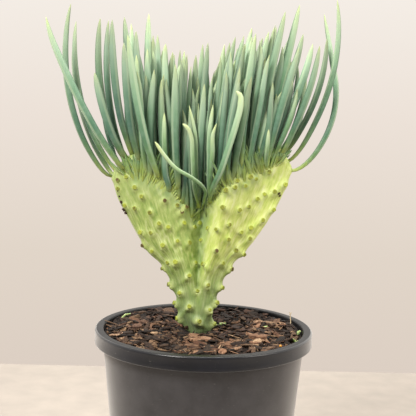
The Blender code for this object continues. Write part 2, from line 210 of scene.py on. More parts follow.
def arc(middle, radius, start, end, count):
    """Points on part of a circle in the section plane, as (out, up), between two angles in degrees."""
    turn = np.radians(np.linspace(start, end, count))
    return np.stack([middle[0] + radius * np.cos(turn), middle[1] + radius * np.sin(turn)], 1)


def wall_radius(z):
    """Outer radius of the wall, which tapers evenly from under the band to the base."""
    top = RIM_RADIUS - BAND_REACH
    return BASE_RADIUS + (top - BASE_RADIUS) * z / (POT_HEIGHT - BAND_HEIGHT)


web = POT_HEIGHT - POT_WALL
band_foot = POT_HEIGHT - BAND_HEIGHT
inside = [(wall_radius(z) - POT_WALL, z) for z in np.linspace(POT_FLOOR, POT_HEIGHT - 0.003, 24)]
lip = arc((wall_radius(POT_HEIGHT) - POT_WALL + 0.0016, POT_HEIGHT - 0.0016), 0.0016, 180, 90, 8)
shoulder = arc((RIM_RADIUS - 0.0019, POT_HEIGHT - 0.0019), 0.0019, 90, 0, 10)
bead = [(RIM_RADIUS - 0.0002, POT_HEIGHT - 0.0030), (RIM_RADIUS - 0.0002, POT_HEIGHT - 0.0095)]
hem = arc((RIM_RADIUS - 0.0009, band_foot + 0.0009), 0.0009, 0, -180, 12)
under = arc((wall_radius(web) + 0.0010, web - 0.0010), 0.0010, 90, 180, 6)
outside = [(wall_radius(z), z) for z in np.linspace(web - 0.0030, 0.0025, 40)]
foot = arc((wall_radius(0.0022) - 0.0022, 0.0022), 0.0022, 0, -90, 8)
profile = np.concatenate([inside, lip, shoulder, bead, hem, [(RIM_RADIUS - POT_WALL, web)], under, outside, foot])
turn = circle(POT_SIDES)
rings = np.stack([profile[:, :1] * np.cos(turn), profile[:, :1] * np.sin(turn),
                  profile[:, 1:] + 0 * turn], -1)


def floor_plate(edge, z):
    """A flat floor: eight wedges, each drawn from its drain hole's edge out to its own border, round a disc."""
    hub = DRAIN_RING / 2
    half = np.pi / 8
    wedge = np.linspace(-half, half, 25)
    spoke = np.linspace(hub, edge, 9)[1:-1]
    border = np.concatenate([
        np.stack([edge * np.cos(wedge), edge * np.sin(wedge)], 1),
        np.stack([spoke[::-1] * np.cos(half), spoke[::-1] * np.sin(half)], 1),
        np.stack([hub * np.cos(wedge[::-1]), hub * np.sin(wedge[::-1])], 1),
        np.stack([spoke * np.cos(half), -spoke * np.sin(half)], 1)])
    bearing = np.arctan2(border[:, 1], border[:, 0] - DRAIN_RING)
    hole = np.stack([DRAIN_RING + DRAIN_RADIUS * np.cos(bearing), DRAIN_RADIUS * np.sin(bearing)], 1)
    share = np.linspace(0, 1, 6)[:, None, None]
    patch = hole * (1 - share) + border * share
    turns = (np.arange(8) + 0.5) * np.pi / 4
    x = patch[..., 0] * np.cos(turns)[:, None, None] - patch[..., 1] * np.sin(turns)[:, None, None]
    y = patch[..., 0] * np.sin(turns)[:, None, None] + patch[..., 1] * np.cos(turns)[:, None, None]
    wedges = np.stack([x, y, np.full_like(x, z)], -1)
    out = np.array([0.001, 0.35, 0.7, 1.0])[:, None] * hub
    disc = np.stack([out * np.cos(turn), out * np.sin(turn), np.full((4, POT_SIDES), z)], -1)
    return wedges, disc


def merged(piece, nearest):
    """Join points that meet, drop spare ones, fill the openings left, and turn every face outward."""
    shape = bmesh.new()
    shape.from_mesh(piece.data)
    bmesh.ops.remove_doubles(shape, verts=shape.verts, dist=nearest)
    bmesh.ops.delete(shape, geom=[v for v in shape.verts if not v.link_faces], context="VERTS")
    bmesh.ops.holes_fill(shape, edges=[e for e in shape.edges if e.is_boundary], sides=400)
    bmesh.ops.recalc_face_normals(shape, faces=shape.faces)
    shape.to_mesh(piece.data)
    shape.free()


floor_wedges, floor_disc = floor_plate(profile[0, 0], POT_FLOOR)
base_wedges, base_disc = floor_plate(profile[-1, 0], 0.0)
hole_walls = np.stack([floor_wedges[:, 0], base_wedges[:, 0]], 1)
patches = [rings, *floor_wedges, floor_disc, *base_wedges, base_disc, *hole_walls]
starts = np.cumsum([0] + [patch.shape[0] * patch.shape[1] for patch in patches])
faces = [grid_faces(*patch.shape[:2], start) for patch, start in zip(patches, starts)]


def blend_in(tree, under, mask, colour):
    """Lay one colour over another where a mask says so; a colour is sRGB hex, or a socket or node."""
    over = linear(colour) if isinstance(colour, str) else colour
    return add_node(tree, "Mix", {0: mask, 6: under, 7: over}, data_type="RGBA").outputs[2]


# Injection-moulded polypropylene: dark grey, matt from the etched mould, with a smoother band, fine dust and
# pale handling scuffs. The band's colour is also painted darker as painted shade, since the upright band
# catches less light off the board than the sloping wall. At a grazing angle it takes the colour of the room.
pot_plastic, tree, shader, place = new_material("matt grey polypropylene moulding", 0.28, IOR=1.49, Sheen_Weight=0.65,
                                                Sheen_Roughness=0.40, Specular_IOR_Level=0.42)
height = add_node(tree, "SeparateXYZ", {0: place}).outputs["Z"]
on_band = add_node(tree, "MapRange", {0: height, 1: band_foot - 0.0006, 2: band_foot + 0.0004})
dust = add_node(tree, "TexNoise", {"Vector": place, "Scale": 38.0, "Detail": 6.0, "Roughness": 0.62})
wall_tone = add_node(tree, "ValToRGB", {0: dust}, stops=((0.35, "#2a292c"), (0.65, "#3a393c")))
# The band's tone is painted darker than the wall's: painted shade on the upright band
shaded_band_tone = add_node(tree, "ValToRGB", {0: dust}, stops=((0.35, "#090b11"), (0.65, "#13151d")))
plain = blend_in(tree, wall_tone, on_band, shaded_band_tone)
# Scuffs: about 3 mm long and 0.4 mm high, drawn level round the band
stretch = add_node(tree, "Mapping", {0: place, 3: (260.0, 260.0, 1500.0)})
scratch = add_node(tree, "TexNoise", {"Vector": stretch, "Scale": 1.0, "Detail": 2.0})
scuffs = add_node(tree, "MapRange", {0: scratch, 1: 0.70, 2: 0.78, 4: 0.35})
worn = blend_in(tree, plain, scuffs, "#8f8d8a")
# Mould texture: an etched grain of about 0.6 mm
grain = add_node(tree, "TexNoise", {"Vector": place, "Scale": 1700.0, "Detail": 2.0})
coat(tree, shader, worn, grain, 0.12, 0.0002)

# The inside and the flat top of the rim: the same plastic without dust, painted near black as the shade inside the
# pot
pot_inside = speckled("polypropylene inside, painted shade", 0.42, 60.0, 5.0, ((0.35, "#0b0b0e"), (0.70, "#1a1a1c")),
                      Specular_IOR_Level=0.30)

pot = add_piece("nursery_pot_moulding", np.concatenate([patch.reshape(-1, 3) for patch in patches]), faces,
                [pot_plastic, pot_inside])
merged(pot, 2e-6)
centre = np.empty(3 * len(pot.data.polygons))
pot.data.polygons.foreach_get("center", centre)
centre = centre.reshape(-1, 3)
out = np.hypot(centre[:, 0], centre[:, 1])
# Faces inside the wall and on the rim's flat top take the near-black material: painted shade
within = (centre[:, 2] > POT_FLOOR - 0.0001) & (out < wall_radius(centre[:, 2]) - 0.6 * POT_WALL)
rim_top = (centre[:, 2] > POT_HEIGHT - 0.0030) & (out < RIM_RADIUS - 0.0016)
pot.data.polygons.foreach_set("material_index", (within | rim_top).astype(np.int32))
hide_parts("nursery_pot")


# Potting mix: composted bark fines, filled to just below the rim. Loose flakes, splinters and a few
# bits of green lie on top of the dark crumb, and the mix sinks a little towards the right-hand wall.
MIX_TOP = POT_HEIGHT - 0.005
MIX_SWELL = 0.0009
SEAT_GAP = 0.0003
FOOT_X = -0.0075
FOOT_WIDTH = 0.0265
FOOT_DEPTH = 0.0240
MIX_EDGE = wall_radius(MIX_TOP) - POT_WALL - SEAT_GAP


def ease(t):
    """Smooth step from 0 to 1."""
    t = np.clip(t, 0, 1)
    return t * t * (3 - 2 * t)


def lumps(points, size, seed):
    """Smooth random field from -1 to 1: hashed values on a cubic lattice of this size, eased between."""
    cell = np.asarray(points) / size
    corner = np.floor(cell).astype(np.int64)
    part = ease(cell - corner)
    total = 0.0
    for step in np.ndindex(2, 2, 2):
        at = corner + step
        mixed = at[..., 0] * 73856093 ^ at[..., 1] * 19349663 ^ at[..., 2] * 83492791 ^ seed * 2654435761
        mixed = (mixed ^ mixed >> 13) * 1274126177 & 0x7fffffff
        value = (mixed ^ mixed >> 15) % 65536 / 32767.5 - 1
        total = total + value * np.prod(np.where(step, part, 1 - part), -1)
    return total


def mix_height(x, y):
    """Top of the mix: level with a slow swell, flat round the stem."""
    near = ease((np.hypot(x - FOOT_X, y) - FOOT_WIDTH) / FOOT_WIDTH)
    swell = np.sin(95 * x + 1.1) * np.cos(80 * y - 0.5) + 0.9 * np.sin(62 * y + 0.6)
    return MIX_TOP + MIX_SWELL * near * swell


def mix_surface(x, y):
    """The mix with its crumbs: the swell, a sag towards the right-hand wall, and two sizes of lump."""
    flat = np.stack([x, y, 0 * x], -1)
    sag = 0.0036 * ease((x - 0.060) / 0.025) * ease((0.03 - y) / 0.05)
    heap = 0.0024 * ease((y - 0.010) / 0.050)
    return mix_height(x, y) + heap - sag + 0.0014 * lumps(flat, 0.0080, 3) + 0.0007 * lumps(flat, 0.0026, 4)


def unit(vectors):
    """Vectors scaled to length one."""
    return vectors / np.linalg.norm(vectors, axis=-1, keepdims=True)


def swept(line, first_side, second_side, wide, deep):
    """Rings round a middle line: each point lies out by wide along one side and by deep along the other."""
    return (line[..., None, :] + wide[..., None] * first_side[..., None, :]
            + deep[..., None] * second_side[..., None, :])


def capped_faces(rows, columns):
    """Faces of a closed form: quads between its rings, and a fan to one extra point at either end."""
    around = np.arange(columns)
    after = (around + 1) % columns
    last, top = rows * columns, (rows - 1) * columns
    low = np.stack([np.full(columns, last), after, around], 1)
    high = np.stack([np.full(columns, last + 1), around + top, after + top], 1)
    return [grid_faces(rows, columns), low, high]


def add_forms(name, rings, ends, materials, smooth=True):
    """Add many closed forms as one piece: rings is (forms, rows, columns, 3), ends is (forms, 2, 3)."""
    forms, rows, columns, _ = rings.shape
    points = np.concatenate([rings.reshape(forms, -1, 3), ends], 1)
    starts = np.arange(forms)[:, None, None] * points.shape[1]
    faces = [(part + starts).reshape(-1, part.shape[1]) for part in capped_faces(rows, columns)]
    return add_piece(name, points, faces, materials, smooth)


def paint(piece, name, values, kind="FLOAT"):
    """Store one value, or one vector, per point of a piece, for its material to read."""
    layer = piece.data.attributes.new(name, kind, "POINT")
    field = "vector" if kind == "FLOAT_VECTOR" else "value"
    layer.data.foreach_set(field, np.ascontiguousarray(values, dtype=np.float32).ravel())


def painted(tree, name, output="Fac"):
    """The socket that reads a stored value back."""
    return add_node(tree, "Attribute", attribute_name=name).outputs[output]


# Damp bark fines: nearly black brown crumb with lighter specks, fully matt
bark_fines = speckled("damp composted bark fines", 0.95, 420.0, 5.0,
                      ((0.30, "#0c0805"), (0.50, "#1d130d"), (0.66, "#3c2a1f"), (0.80, "#5a4334")), 0.8, 0.0008, 0.7)

turn = circle(240)
out = np.linspace(0.004, 1, 84)[:, None] * (MIX_EDGE - 0.0002)
x, y = out * np.cos(turn), out * np.sin(turn)
top = np.stack([x, y, mix_surface(x, y)], -1)
depth = np.linspace(0, 1, 12)[1:, None]
z = top[-1, :, 2] * (1 - depth) + (POT_FLOOR + SEAT_GAP) * depth
side_radius = np.minimum(wall_radius(z) - POT_WALL - SEAT_GAP, MIX_EDGE - 0.0002)
side = np.stack([side_radius * np.cos(turn), side_radius * np.sin(turn), z], -1)
rings = np.concatenate([top, side])[None, ::-1]
ends = np.array([[[0, 0, POT_FLOOR + SEAT_GAP], [0, 0, top[0, :, 2].mean()]]])
mix = add_forms("potting_mix_fill", rings, ends, [bark_fines])
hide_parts("potting_mix")

# Bark flakes: split and shredded pine bark, from dark and damp to dry and reddish brown on the broken
# faces, with the grain running along each flake
bark_flake, tree, shader, place = new_material("shredded pine bark", 0.88)
fleck = add_node(tree, "TexNoise", {"Vector": place, "Scale": 520.0, "Detail": 5.0, "Roughness": 0.65})
own_tone = painted(tree, "tone")
mixed = add_node(tree, "Math", {0: fleck, 1: 0.75, 2: own_tone}, operation="MULTIPLY_ADD")
shifted = add_node(tree, "Math", {0: mixed, 1: 0.375}, operation="SUBTRACT")
brown = add_node(tree, "ValToRGB", {0: shifted},
                 stops=((0.0, "#0d0806"), (0.28, "#231811"), (0.52, "#483527"), (0.78, "#7d634a"), (1.0, "#b99c7d")))
red = add_node(tree, "ValToRGB", {0: shifted},
               stops=((0.0, "#22130c"), (0.40, "#563827"), (0.70, "#87624a"), (1.0, "#bd9a7f")))
flake_colour = blend_in(tree, brown, painted(tree, "redness"), red)
coat(tree, shader, flake_colour, fleck, 0.7, 0.0006)


def frames(spin, lean, roll):
    """Three unit vectors per flake: along it, across it and up through it, from its three turns."""
    along_it = np.stack([np.cos(spin) * np.cos(lean), np.sin(spin) * np.cos(lean), np.sin(lean)], -1)
    flat = np.stack([-np.sin(spin), np.cos(spin), 0 * spin], -1)
    up = np.cross(along_it, flat)
    across_it = flat * np.cos(roll)[:, None] + up * np.sin(roll)[:, None]
    return along_it, across_it, np.cross(along_it, across_it)


FLAKE_SECTION = ((0.62, -0.50), (1.0, -0.16), (0.96, 0.22), (0.58, 0.50))


def flake_forms(middle, size, turns, sides, chance):
    """Broken flakes: one ragged outline each, drawn in at the top and the bottom, as rings and ends."""
    count = len(middle)
    even = circle(sides)
    ragged = chance.uniform(0.68, 1.12, (count, 1, sides))
    reach, level = np.array(FLAKE_SECTION).T
    share = reach[:, None] * ragged * chance.uniform(0.92, 1.08, (count, len(reach), sides))
    along_it = share * np.cos(even + chance.uniform(-0.25, 0.25, (count, 1, sides))) * size[:, None, None, 0] / 2
    across_it = share * np.sin(even) * size[:, None, None, 1] / 2
    up = (level[:, None] + chance.uniform(-0.16, 0.16, (count, len(reach), sides))) * size[:, None, None, 2]
    axes = frames(*turns)
    rings = sum(part[..., None] * axis[:, None, None] for part, axis in zip((along_it, across_it, up), axes))
    ends = np.array([-0.5, 0.55])[None, :, None] * size[:, None, 2:3] * axes[2][:, None]
    return rings + middle[:, None, None], ends + middle[:, None]


def scattered(count, clear, edge, chance):
    """Places on the mix, even over its area, clear of the stem's foot and of the wall."""
    out = edge * np.sqrt(chance.uniform(0, 1, count * 2))
    bearing = chance.uniform(0, 2 * np.pi, count * 2)
    x, y = out * np.cos(bearing), out * np.sin(bearing)
    off_foot = np.hypot((x - FOOT_X) / (FOOT_WIDTH / 2 + clear), y / (FOOT_DEPTH / 2 + clear)) > 1
    return x[off_foot][:count], y[off_foot][:count]


# (name, count, sides, length, width, thickness, clear of the wall, lift), lengths in mm
FLAKE_SORTS = (
    ("broad_flakes", 300, 9, (9, 20), (5.5, 10.5), (1.2, 2.6), 6.5, 3.0),
    ("narrow_flakes", 480, 8, (6, 15), (2.2, 4.8), (0.8, 1.8), 5.0, 2.8),
    ("splinters", 520, 6, (6, 18), (0.7, 1.4), (0.5, 0.9), 5.5, 3.4),
    ("crumbs", 350, 6, (1.5, 3.6), (1.2, 3.0), (0.8, 1.8), 2.0, 2.2),
)
for number, (name, count, sides, long, wide, thick, clear, lift) in enumerate(FLAKE_SORTS):
    chance = np.random.default_rng(100 + number)
    x, y = scattered(count, long[1] * 0.30 / 1000, MIX_EDGE - clear / 1000, chance)
    count = len(x)
    size = np.stack([chance.uniform(*span, count) for span in (long, wide, thick)], 1) / 1000
    z = mix_surface(x, y) + chance.uniform(0.1, 1.0, count) * lift / 1000
    turns = (chance.uniform(0, np.pi, count), chance.normal(0, 0.20, count), chance.normal(0, 0.34, count))
    rings, ends = flake_forms(np.stack([x, y, z], 1), size, turns, sides, chance)
    piece = add_forms(f"bark_{name}", rings, ends, [bark_flake], smooth=False)
    each = len(piece.data.vertices) // count
    dry = chance.uniform(0, 1, count) < 0.07
    tone = np.where(dry, chance.uniform(0.6, 0.95, count), chance.beta(1.4, 2.8, count))
    # Painted shade: flakes are painted up to a third darker towards the back, behind the stem
    tone = tone * (1 - 0.35 * ease((y - 0.01) / 0.05))
    paint(piece, "tone", np.repeat(tone, each))
    paint(piece, "redness", np.repeat(chance.uniform(0, 1, count) ** 3, each))

# Eleven larger chips, each on its own seat, with layered ragged edges
# Each chip's tone and redness. The tones differ chip by chip, and run darker towards the back as painted shade behind
# the stem
CHIP_TONES = {"front": (0.76, 0.8), "front_low": (0.52, 0.5), "front_right": (0.62, 0.7), "right_front": (0.56, 0.7),
              "right_low": (0.60, 0.8), "right": (0.46, 0.4), "back_right": (0.26, 0.2), "back": (0.30, 0.2),
              "back_left": (0.40, 0.4), "left": (0.46, 0.6), "left_front": (0.40, 0.3)}
for number, (where, (tone, redness)) in enumerate(CHIP_TONES.items()):
    node = bpy.data.objects[f"bark_chip_{where}"]
    corners = np.array([v.co for v in node.data.vertices])
    low, high = corners.min(0), corners.max(0)
    middle = (low + high) / 2
    spread = np.linalg.eigh(np.cov((corners - corners.mean(0))[:, :2].T))[1][:, 1]
    across_it = np.array([-spread[1], spread[0]])
    length = np.ptp(corners[:, :2] @ spread)
    width = np.ptp(corners[:, :2] @ across_it)
    even = circle(44)
    round_it = np.stack([np.cos(even), np.sin(even), 0 * even + number], 1)
    ragged = 1 + 0.16 * lumps(round_it, 0.55, number) + 0.06 * lumps(round_it, 0.20, number)
    squareness = (np.abs(np.cos(even)) ** 2.3 + np.abs(np.sin(even)) ** 2.3) ** (-1 / 2.3)
    section = np.array([(0.40, -0.40), (0.74, -0.42), (0.94, -0.38), (1.0, -0.26), (0.96, -0.14), (1.0, -0.06),
                        (0.95, 0.05), (0.98, 0.14), (0.92, 0.22), (0.74, 0.27), (0.46, 0.30), (0.20, 0.30)])
    reach = section[:, :1] * ragged * squareness * 0.97
    flat = ((reach * np.cos(even))[..., None] * spread * length / 2
            + (reach * np.sin(even))[..., None] * across_it * width / 2)
    rings = np.concatenate([flat, np.repeat(section[:, 1:, None], 44, 1) * (high[2] - low[2])], -1) + middle
    rings[..., :2] += 0.0004 * lumps(rings * [1, 1, 3.0], 0.0022, 11)[..., None]
    rings[..., 2] += 0.0006 * lumps(rings, 0.0052, 12) + 0.0003 * lumps(rings, 0.0016, 13)
    ends = np.stack([rings[0].mean(0), rings[-1].mean(0)])
    piece = add_forms(f"bark_plate_{where}", rings[None], ends[None], [bark_flake], smooth=False)
    paint(piece, "tone", tone + 0.18 * lumps(np.array([v.co for v in piece.data.vertices]), 0.005, 14))
    paint(piece, "redness", np.full(len(piece.data.vertices), redness))
    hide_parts(node.name)

# Small green and pale bits on the mix: two fat seedlings by the right-hand wall, dropped leaf pieces, a dry
# stalk, and one resin-coated fertiliser bead
soft_green = speckled("fresh seedling skin", 0.45, 450.0, 3.0, ((0.35, "#8dab5f"), (0.65, "#bccb8c")),
                      Subsurface_Weight=0.15, Subsurface_Scale=0.002)
dry_straw = speckled("dry plant straw", 0.8, 900.0, 3.0, ((0.35, "#b59f7c"), (0.65, "#dccbaa")))
resin_bead = speckled("amber resin-coated bead", 0.25, 600.0, 2.0, ((0.35, "#c47a1c"), (0.65, "#e8a63c")),
                      Subsurface_Weight=0.2, Subsurface_Scale=0.002)


def add_sprig(name, path, radii, finish, sides=12, steps=24):
    """A soft tube drawn through a few places in mm, heights from the mix, with its own radius at each."""
    places = np.array(path, float) / 1000
    places[:, 2] += mix_surface(places[:, 0], places[:, 1])
    at = np.linspace(0, len(path) - 1, steps)
    k = np.minimum(at.astype(int), len(path) - 2)
    t = ease(at - k)[:, None]
    line = places[k] * (1 - t) + places[k + 1] * t
    radius = np.interp(at, np.arange(len(path)), radii) / 1000
    heading = unit(np.gradient(line, axis=0))
    first_side = unit(np.cross(heading, [0.31, 0.87, 0.38]))
    rings = swept(line, first_side, np.cross(heading, first_side), radius[:, None] * np.cos(circle(sides)),
                  radius[:, None] * np.sin(circle(sides)))
    ends = np.stack([line[0] - heading[0] * radius[0] * 0.5, line[-1] + heading[-1] * radius[-1] * 0.5])
    return add_forms(name, rings[None], ends[None], [finish])


SPRIGS = (
    ("seedling_right", ((84, -22, -1), (84.5, -22, 2), (86, -23, 4), (88, -24, 5)), (1.3, 1.8, 1.7, 0.8), soft_green),
    ("seedling_right_pair", ((84, -21, 0), (82, -22, 3), (80.5, -24, 4.5)), (1.1, 1.5, 0.7), soft_green),
    ("seedling_far_right", ((88, 4, -1), (88.5, 4, 2), (90, 3, 4)), (1.2, 1.7, 0.9), soft_green),
    ("leaf_piece_left", ((-79, 34, 1), (-76, 36, 3.5), (-71, 38, 6)), (0.8, 1.1, 0.6), soft_green),
    ("leaf_piece_middle", ((11, 17, 1.5), (16, 20, 2.5), (21, 22, 3.5)), (1.2, 1.4, 0.8), soft_green),
    ("leaf_piece_right", ((52, 10, 1), (56, 11, 2), (60, 11, 2.5)), (0.8, 1.1, 0.6), soft_green),
    ("dry_stalk", ((82, 22, -1), (82.6, 22.4, 5), (82, 23, 11), (83, 23, 14)), (0.5, 0.45, 0.4, 0.3), dry_straw),
    ("dry_stalk_tuft", ((82.3, 22.6, 10), (81, 22.6, 13.5)), (0.35, 0.25), dry_straw),
    ("resin_bead", ((67, -48, 3.4), (67.4, -48, 4.2), (67.8, -48, 5.0)), (0.9, 1.3, 0.9), resin_bead),
    ("pale_grain_left", ((-52, -30, 2), (-50.5, -30, 2.6)), (0.8, 0.7), dry_straw),
    ("pale_grain_front", ((3, -58, 2), (5, -58, 2.4)), (0.8, 0.7), dry_straw),
)
for name, path, radii, finish in SPRIGS:
    add_sprig(name, path, radii, finish)


# Crested stem: one living stem that has grown sideways into a folded fan, fleshy and yellow-green, with
# short woody stubs where old leaves dropped. It stands in the mix, and the skin is fluted under each leaf.
FAN_X = -0.0050
FAN_WIDTH = 0.164
FAN_THICKNESS = 0.0190
CROWN_HEIGHT = 0.0140
PLEAT_DEPTH = 0.0130
FOOT_IN_MIX = 0.014
SPREAD = ((0, 0), (0.16, 0.035), (0.30, 0.12), (0.43, 0.26), (0.54, 0.48), (0.71, 0.71), (0.89, 0.91), (1, 1))
CREST = ((-1, 0.153), (-0.80, 0.166), (-0.52, 0.160), (-0.26, 0.143), (0.02, 0.124),
         (0.12, 0.138), (0.24, 0.152), (0.55, 0.166), (0.86, 0.176), (1, 0.163))
PLEAT = ((-1, 0.2), (-0.72, -0.35), (-0.40, -0.30), (-0.14, 0.35), (0.03, 1.0),
         (0.12, 0.1), (0.22, -0.7), (0.50, -0.45), (0.80, 0.15), (1, 0.2))


def through(stations, at):
    """A smooth curve through stations of (place, value), with slopes from their neighbours."""
    place, value = np.array(stations, float).T
    at = np.asarray(at, float)
    slope = np.gradient(value, place)
    k = np.clip(np.searchsorted(place, at, side="right") - 1, 0, len(place) - 2)
    step = place[k + 1] - place[k]
    t = np.clip((at - place[k]) / step, 0, 1)
    ends = value[k] * (2 * t**3 - 3 * t**2 + 1) + value[k + 1] * (3 * t**2 - 2 * t**3)
    return ends + step * (slope[k] * (t**3 - 2 * t**2 + t) + slope[k + 1] * (t**3 - t**2))


def half_width(rise):
    """Half the fan's width: the foot's, opening out to the crest's by the spread."""
    return FOOT_WIDTH / 2 + (FAN_WIDTH - FOOT_WIDTH) / 2 * through(SPREAD, rise)


def fan_sheet(along, rise):
    """Middle of the fan: along runs -1 to 1 across it, and rise 0 to 1 from the foot to the crest."""
    x = FOOT_X + (FAN_X - FOOT_X) * rise + along * half_width(rise)
    y = PLEAT_DEPTH * through(PLEAT, along) * ease((rise - 0.12) / 0.8)
    z = MIX_TOP + rise * (through(CREST, along) - CROWN_HEIGHT)
    return x, y, z


def half_depth(along, rise):
    """Half the thickness: an ellipse at the foot, a flat ribbon with round ends at the crest."""
    middle = FOOT_DEPTH / 2 + (FAN_THICKNESS - FOOT_DEPTH) / 2 * ease(rise / 0.6)
    roundness = 0.5 - 0.28 * ease(rise / 0.7)
    return middle * np.maximum(1 - along**2, 0) ** roundness


def crown_point(along, across):
    """A point on the round crown, where across runs from -90 degrees (front) to 90 (back)."""
    x, y, z = fan_sheet(along, 1.0)
    bend = np.radians(across)
    lift = CROWN_HEIGHT * (0.25 + 0.75 * np.maximum(1 - along**2, 0) ** 0.4)
    y = y + half_depth(along, 1.0) * np.sin(bend)
    return np.stack(np.broadcast_arrays(x, y, z + lift * np.cos(bend)), -1)


def crown_run(along, across):
    """The way along the crown at a point: from just before it to just after it."""
    return crown_point(np.minimum(along + 0.01, 1), across) - crown_point(np.maximum(along - 0.01, -1), across)


def crown_normal(along, across):
    """Unit vector out of the crown: the cross product of the ways along it and across it."""
    over = crown_point(along, across + 1) - crown_point(along, across - 1)
    return unit(np.cross(crown_run(along, across), over))


# Leaves that show their whole length: (along, across, length mm, lean foot and tip, tilt foot and tip). A
# third number in the lean is the share of the length after which the leaf stays straight.
LEFT_LEAVES = (
    (-1.00, -20, 165, (-36, 12), (-4, 0)), (-0.96, 35, 143, (-35, 5), (0, 4)), (-0.98, 75, 128, (-33, -3), (2, 8)),
    (-0.86, 5, 129, (-24, 6), (-3, 1)), (-0.82, -35, 82, (-26, -12), (-6, -2)), (-0.85, 65, 135, (-21, 5), (3, 7)),
    (-0.77, -12, 121, (-16, 0), (-4, 0)), (-0.72, 35, 126, (-6, -6), (0, 4)), (-0.66, 75, 132, (-8, -4), (6, 10)),
    (-0.68, -62, 107, (-11, -3), (-6, 0)), (-0.62, 0, 112, (-10, -2), (1, 5)), (-0.54, 40, 135, (-7, 1), (1, 5)),
    (-0.53, -38, 102, (-6, -2), (-2, 2)), (-0.475, -88, 130, (-17, -7), (-12, -2)), (-0.44, 5, 117, (-6, -2), (1, 5)),
    (-0.38, 50, 120, (-4, 0), (2, 6)), (-0.36, -35, 115, (-6, -2), (-3, 1)), (-0.28, 0, 113, (-6, -2), (0, 4)),
    (-0.27, -75, 114, (-4, 0), (-10, -2)),
)
MIDDLE_LEAVES = (
    (-0.20, 50, 127, (-3, 1), (0, 4)), (-0.17, -35, 119, (-8, -2), (-3, 1)), (-0.11, 20, 129, (-1, 1), (-1, 1)),
    (-0.07, -60, 116, (2, 2), (-20, -3)), (-0.01, 62, 152, (-1, 3), (-2, 1)), (0.075, -15, 136, (-1, 4), (-4, 0)),
    (0.14, 45, 132, (3, 7), (0, 4)),
)
RIGHT_LEAVES = (
    (0.20, -5, 125, (5, 11), (0, 4)), (0.27, 45, 120, (5, 9), (5, 9)), (0.29, -45, 114, (6, 10), (-2, 2)),
    (0.36, 5, 121, (6, 10), (2, 6)), (0.41, -60, 120, (3, 7), (-5, -1)), (0.45, 50, 118, (8, 12), (4, 8)),
    (0.49, -8, 114, (8, 12), (-2, 2)), (0.56, 50, 125, (9, 13), (3, 7)), (0.60, -45, 132, (8, 12), (-4, 0)),
    (0.65, 12, 108, (14, 18), (-1, 3)), (0.72, -30, 131, (13, 11), (-3, 1)), (0.76, 45, 111, (22, 12), (2, 6)),
    (0.82, -5, 98, (27, 11), (-3, 1)), (0.86, -62, 105, (30, 6), (-8, -4)), (0.90, 40, 116, (40, -1), (-2, 1)),
    (0.96, -8, 156, (39, -9), (-2, 2)), (1.00, 50, 162, (58, -11, 0.64), (5, 8)),
)
# The three odd ones at the front, with their girth and the bend of their tips to the right, in degrees
ODD_LEAVES = {
    "leaf_long_leaning": ((-0.84, -88, 151, (-33, -21), (-14, 0)), 1.0, 8),
    "leaf_club_shaped": ((0.09, -80, 122, (44, 0), (-44, 7)), 1.15, -55),
    "leaf_curled": ((0.005, -75, 89, (-34, -40), (-68, 2)), 0.75, -12),
}
named_leaves = {}
for part, leaves in (("left", LEFT_LEAVES), ("middle", MIDDLE_LEAVES), ("right", RIGHT_LEAVES)):
    for number, leaf in enumerate(leaves, 1):
        named_leaves[f"leaf_{part}_{number:02d}"] = (leaf, 1.0, 0)
named_leaves.update(ODD_LEAVES)
named_seats = np.array([leaf[:2] for leaf, _, _ in named_leaves.values()])

# All other leaves stand between those, in rows 6 mm apart over the crown, with a loose spacing
CROWN_ROWS = (-86, -62, -36, -10, 16, 42, 68, 88)
SEAT_SPACING = 0.0062
chance = np.random.default_rng(41)
seats = []
for row, across in enumerate(CROWN_ROWS):
    fine = np.linspace(-0.985, 0.985, 2000)
    steps = np.linalg.norm(np.diff(crown_point(fine, across), axis=0), axis=1)
    way = np.concatenate([[0], np.cumsum(steps)])
    wanted = np.arange(0.5 * (row % 2) + 0.2, way[-1] / SEAT_SPACING) * SEAT_SPACING
    wanted = wanted + chance.normal(0, 0.0007, len(wanted))
    along = np.interp(wanted, way, fine)
    seats.append(np.stack([along, across + chance.normal(0, 3.5, len(along))], 1))
seats = np.concatenate(seats)
apart = crown_point(seats[:, 0], seats[:, 1])[:, None] - crown_point(*named_seats.T)[None]
crown_seats = seats[(np.linalg.norm(apart, axis=-1).min(1) > 0.0046) & (np.abs(seats[:, 0]) < 0.91)]
# The ends of the crest are thinly set: up to this share of the leaves there has dropped
dropped = 0.62 * ease((-0.48 - crown_seats[:, 0]) / 0.18) + 0.50 * ease((crown_seats[:, 0] - 0.62) / 0.16)
crown_seats = crown_seats[chance.uniform(0, 1, len(crown_seats)) > dropped]

# The foot narrows to this share of its width, and moves this far right, where it meets the mix
FOOT_NECK = 0.60
FOOT_SHIFT = 0.006
# Old leaf scars on the front, as (sideways, height over the mix), in mm. Sideways counts from a line this far
# to the right of the fan's own middle.
FRONT_SHIFT = 0.0055
FRONT_SCARS = (
    (-19, 14), (-4, 13), (-11, 26), (5, 23), (-22, 27), (10, 29), (-19, 38), (-5, 39), (4, 46), (-27, 45), (15, 44),
    (-13, 54), (-36, 60), (-31, 66), (-24, 67), (-8, 65), (2, 65), (16, 67), (24, 61), (-46, 76), (-54, 81),
    (-36, 82), (11, 79), (29, 78), (35, 75), (-24, 86), (-14, 84), (-1, 85), (22, 89), (42, 89), (-56, 93),
    (-47, 93), (33, 95),
    (-40, 102), (-32, 99), (-19, 102), (-10, 98), (-5, 101), (5, 98), (12, 99), (22, 103), (42, 99), (53, 106),
    (-62, 115), (-48, 112), (-25, 118), (-21, 112), (17, 119), (31, 116), (39, 119), (62, 116), (-71, 117),
    (-36, 123), (-56, 126), (-17, 123), (47, 126), (54, 130), (63, 132), (19, 134), (26, 137), (36, 138), (13, 10),
    (-62, 134), (72, 139), (45, 144), (40, 146), (28, 147), (57, 150), (-70, 143), (-78, 132), (-78, 143),
)


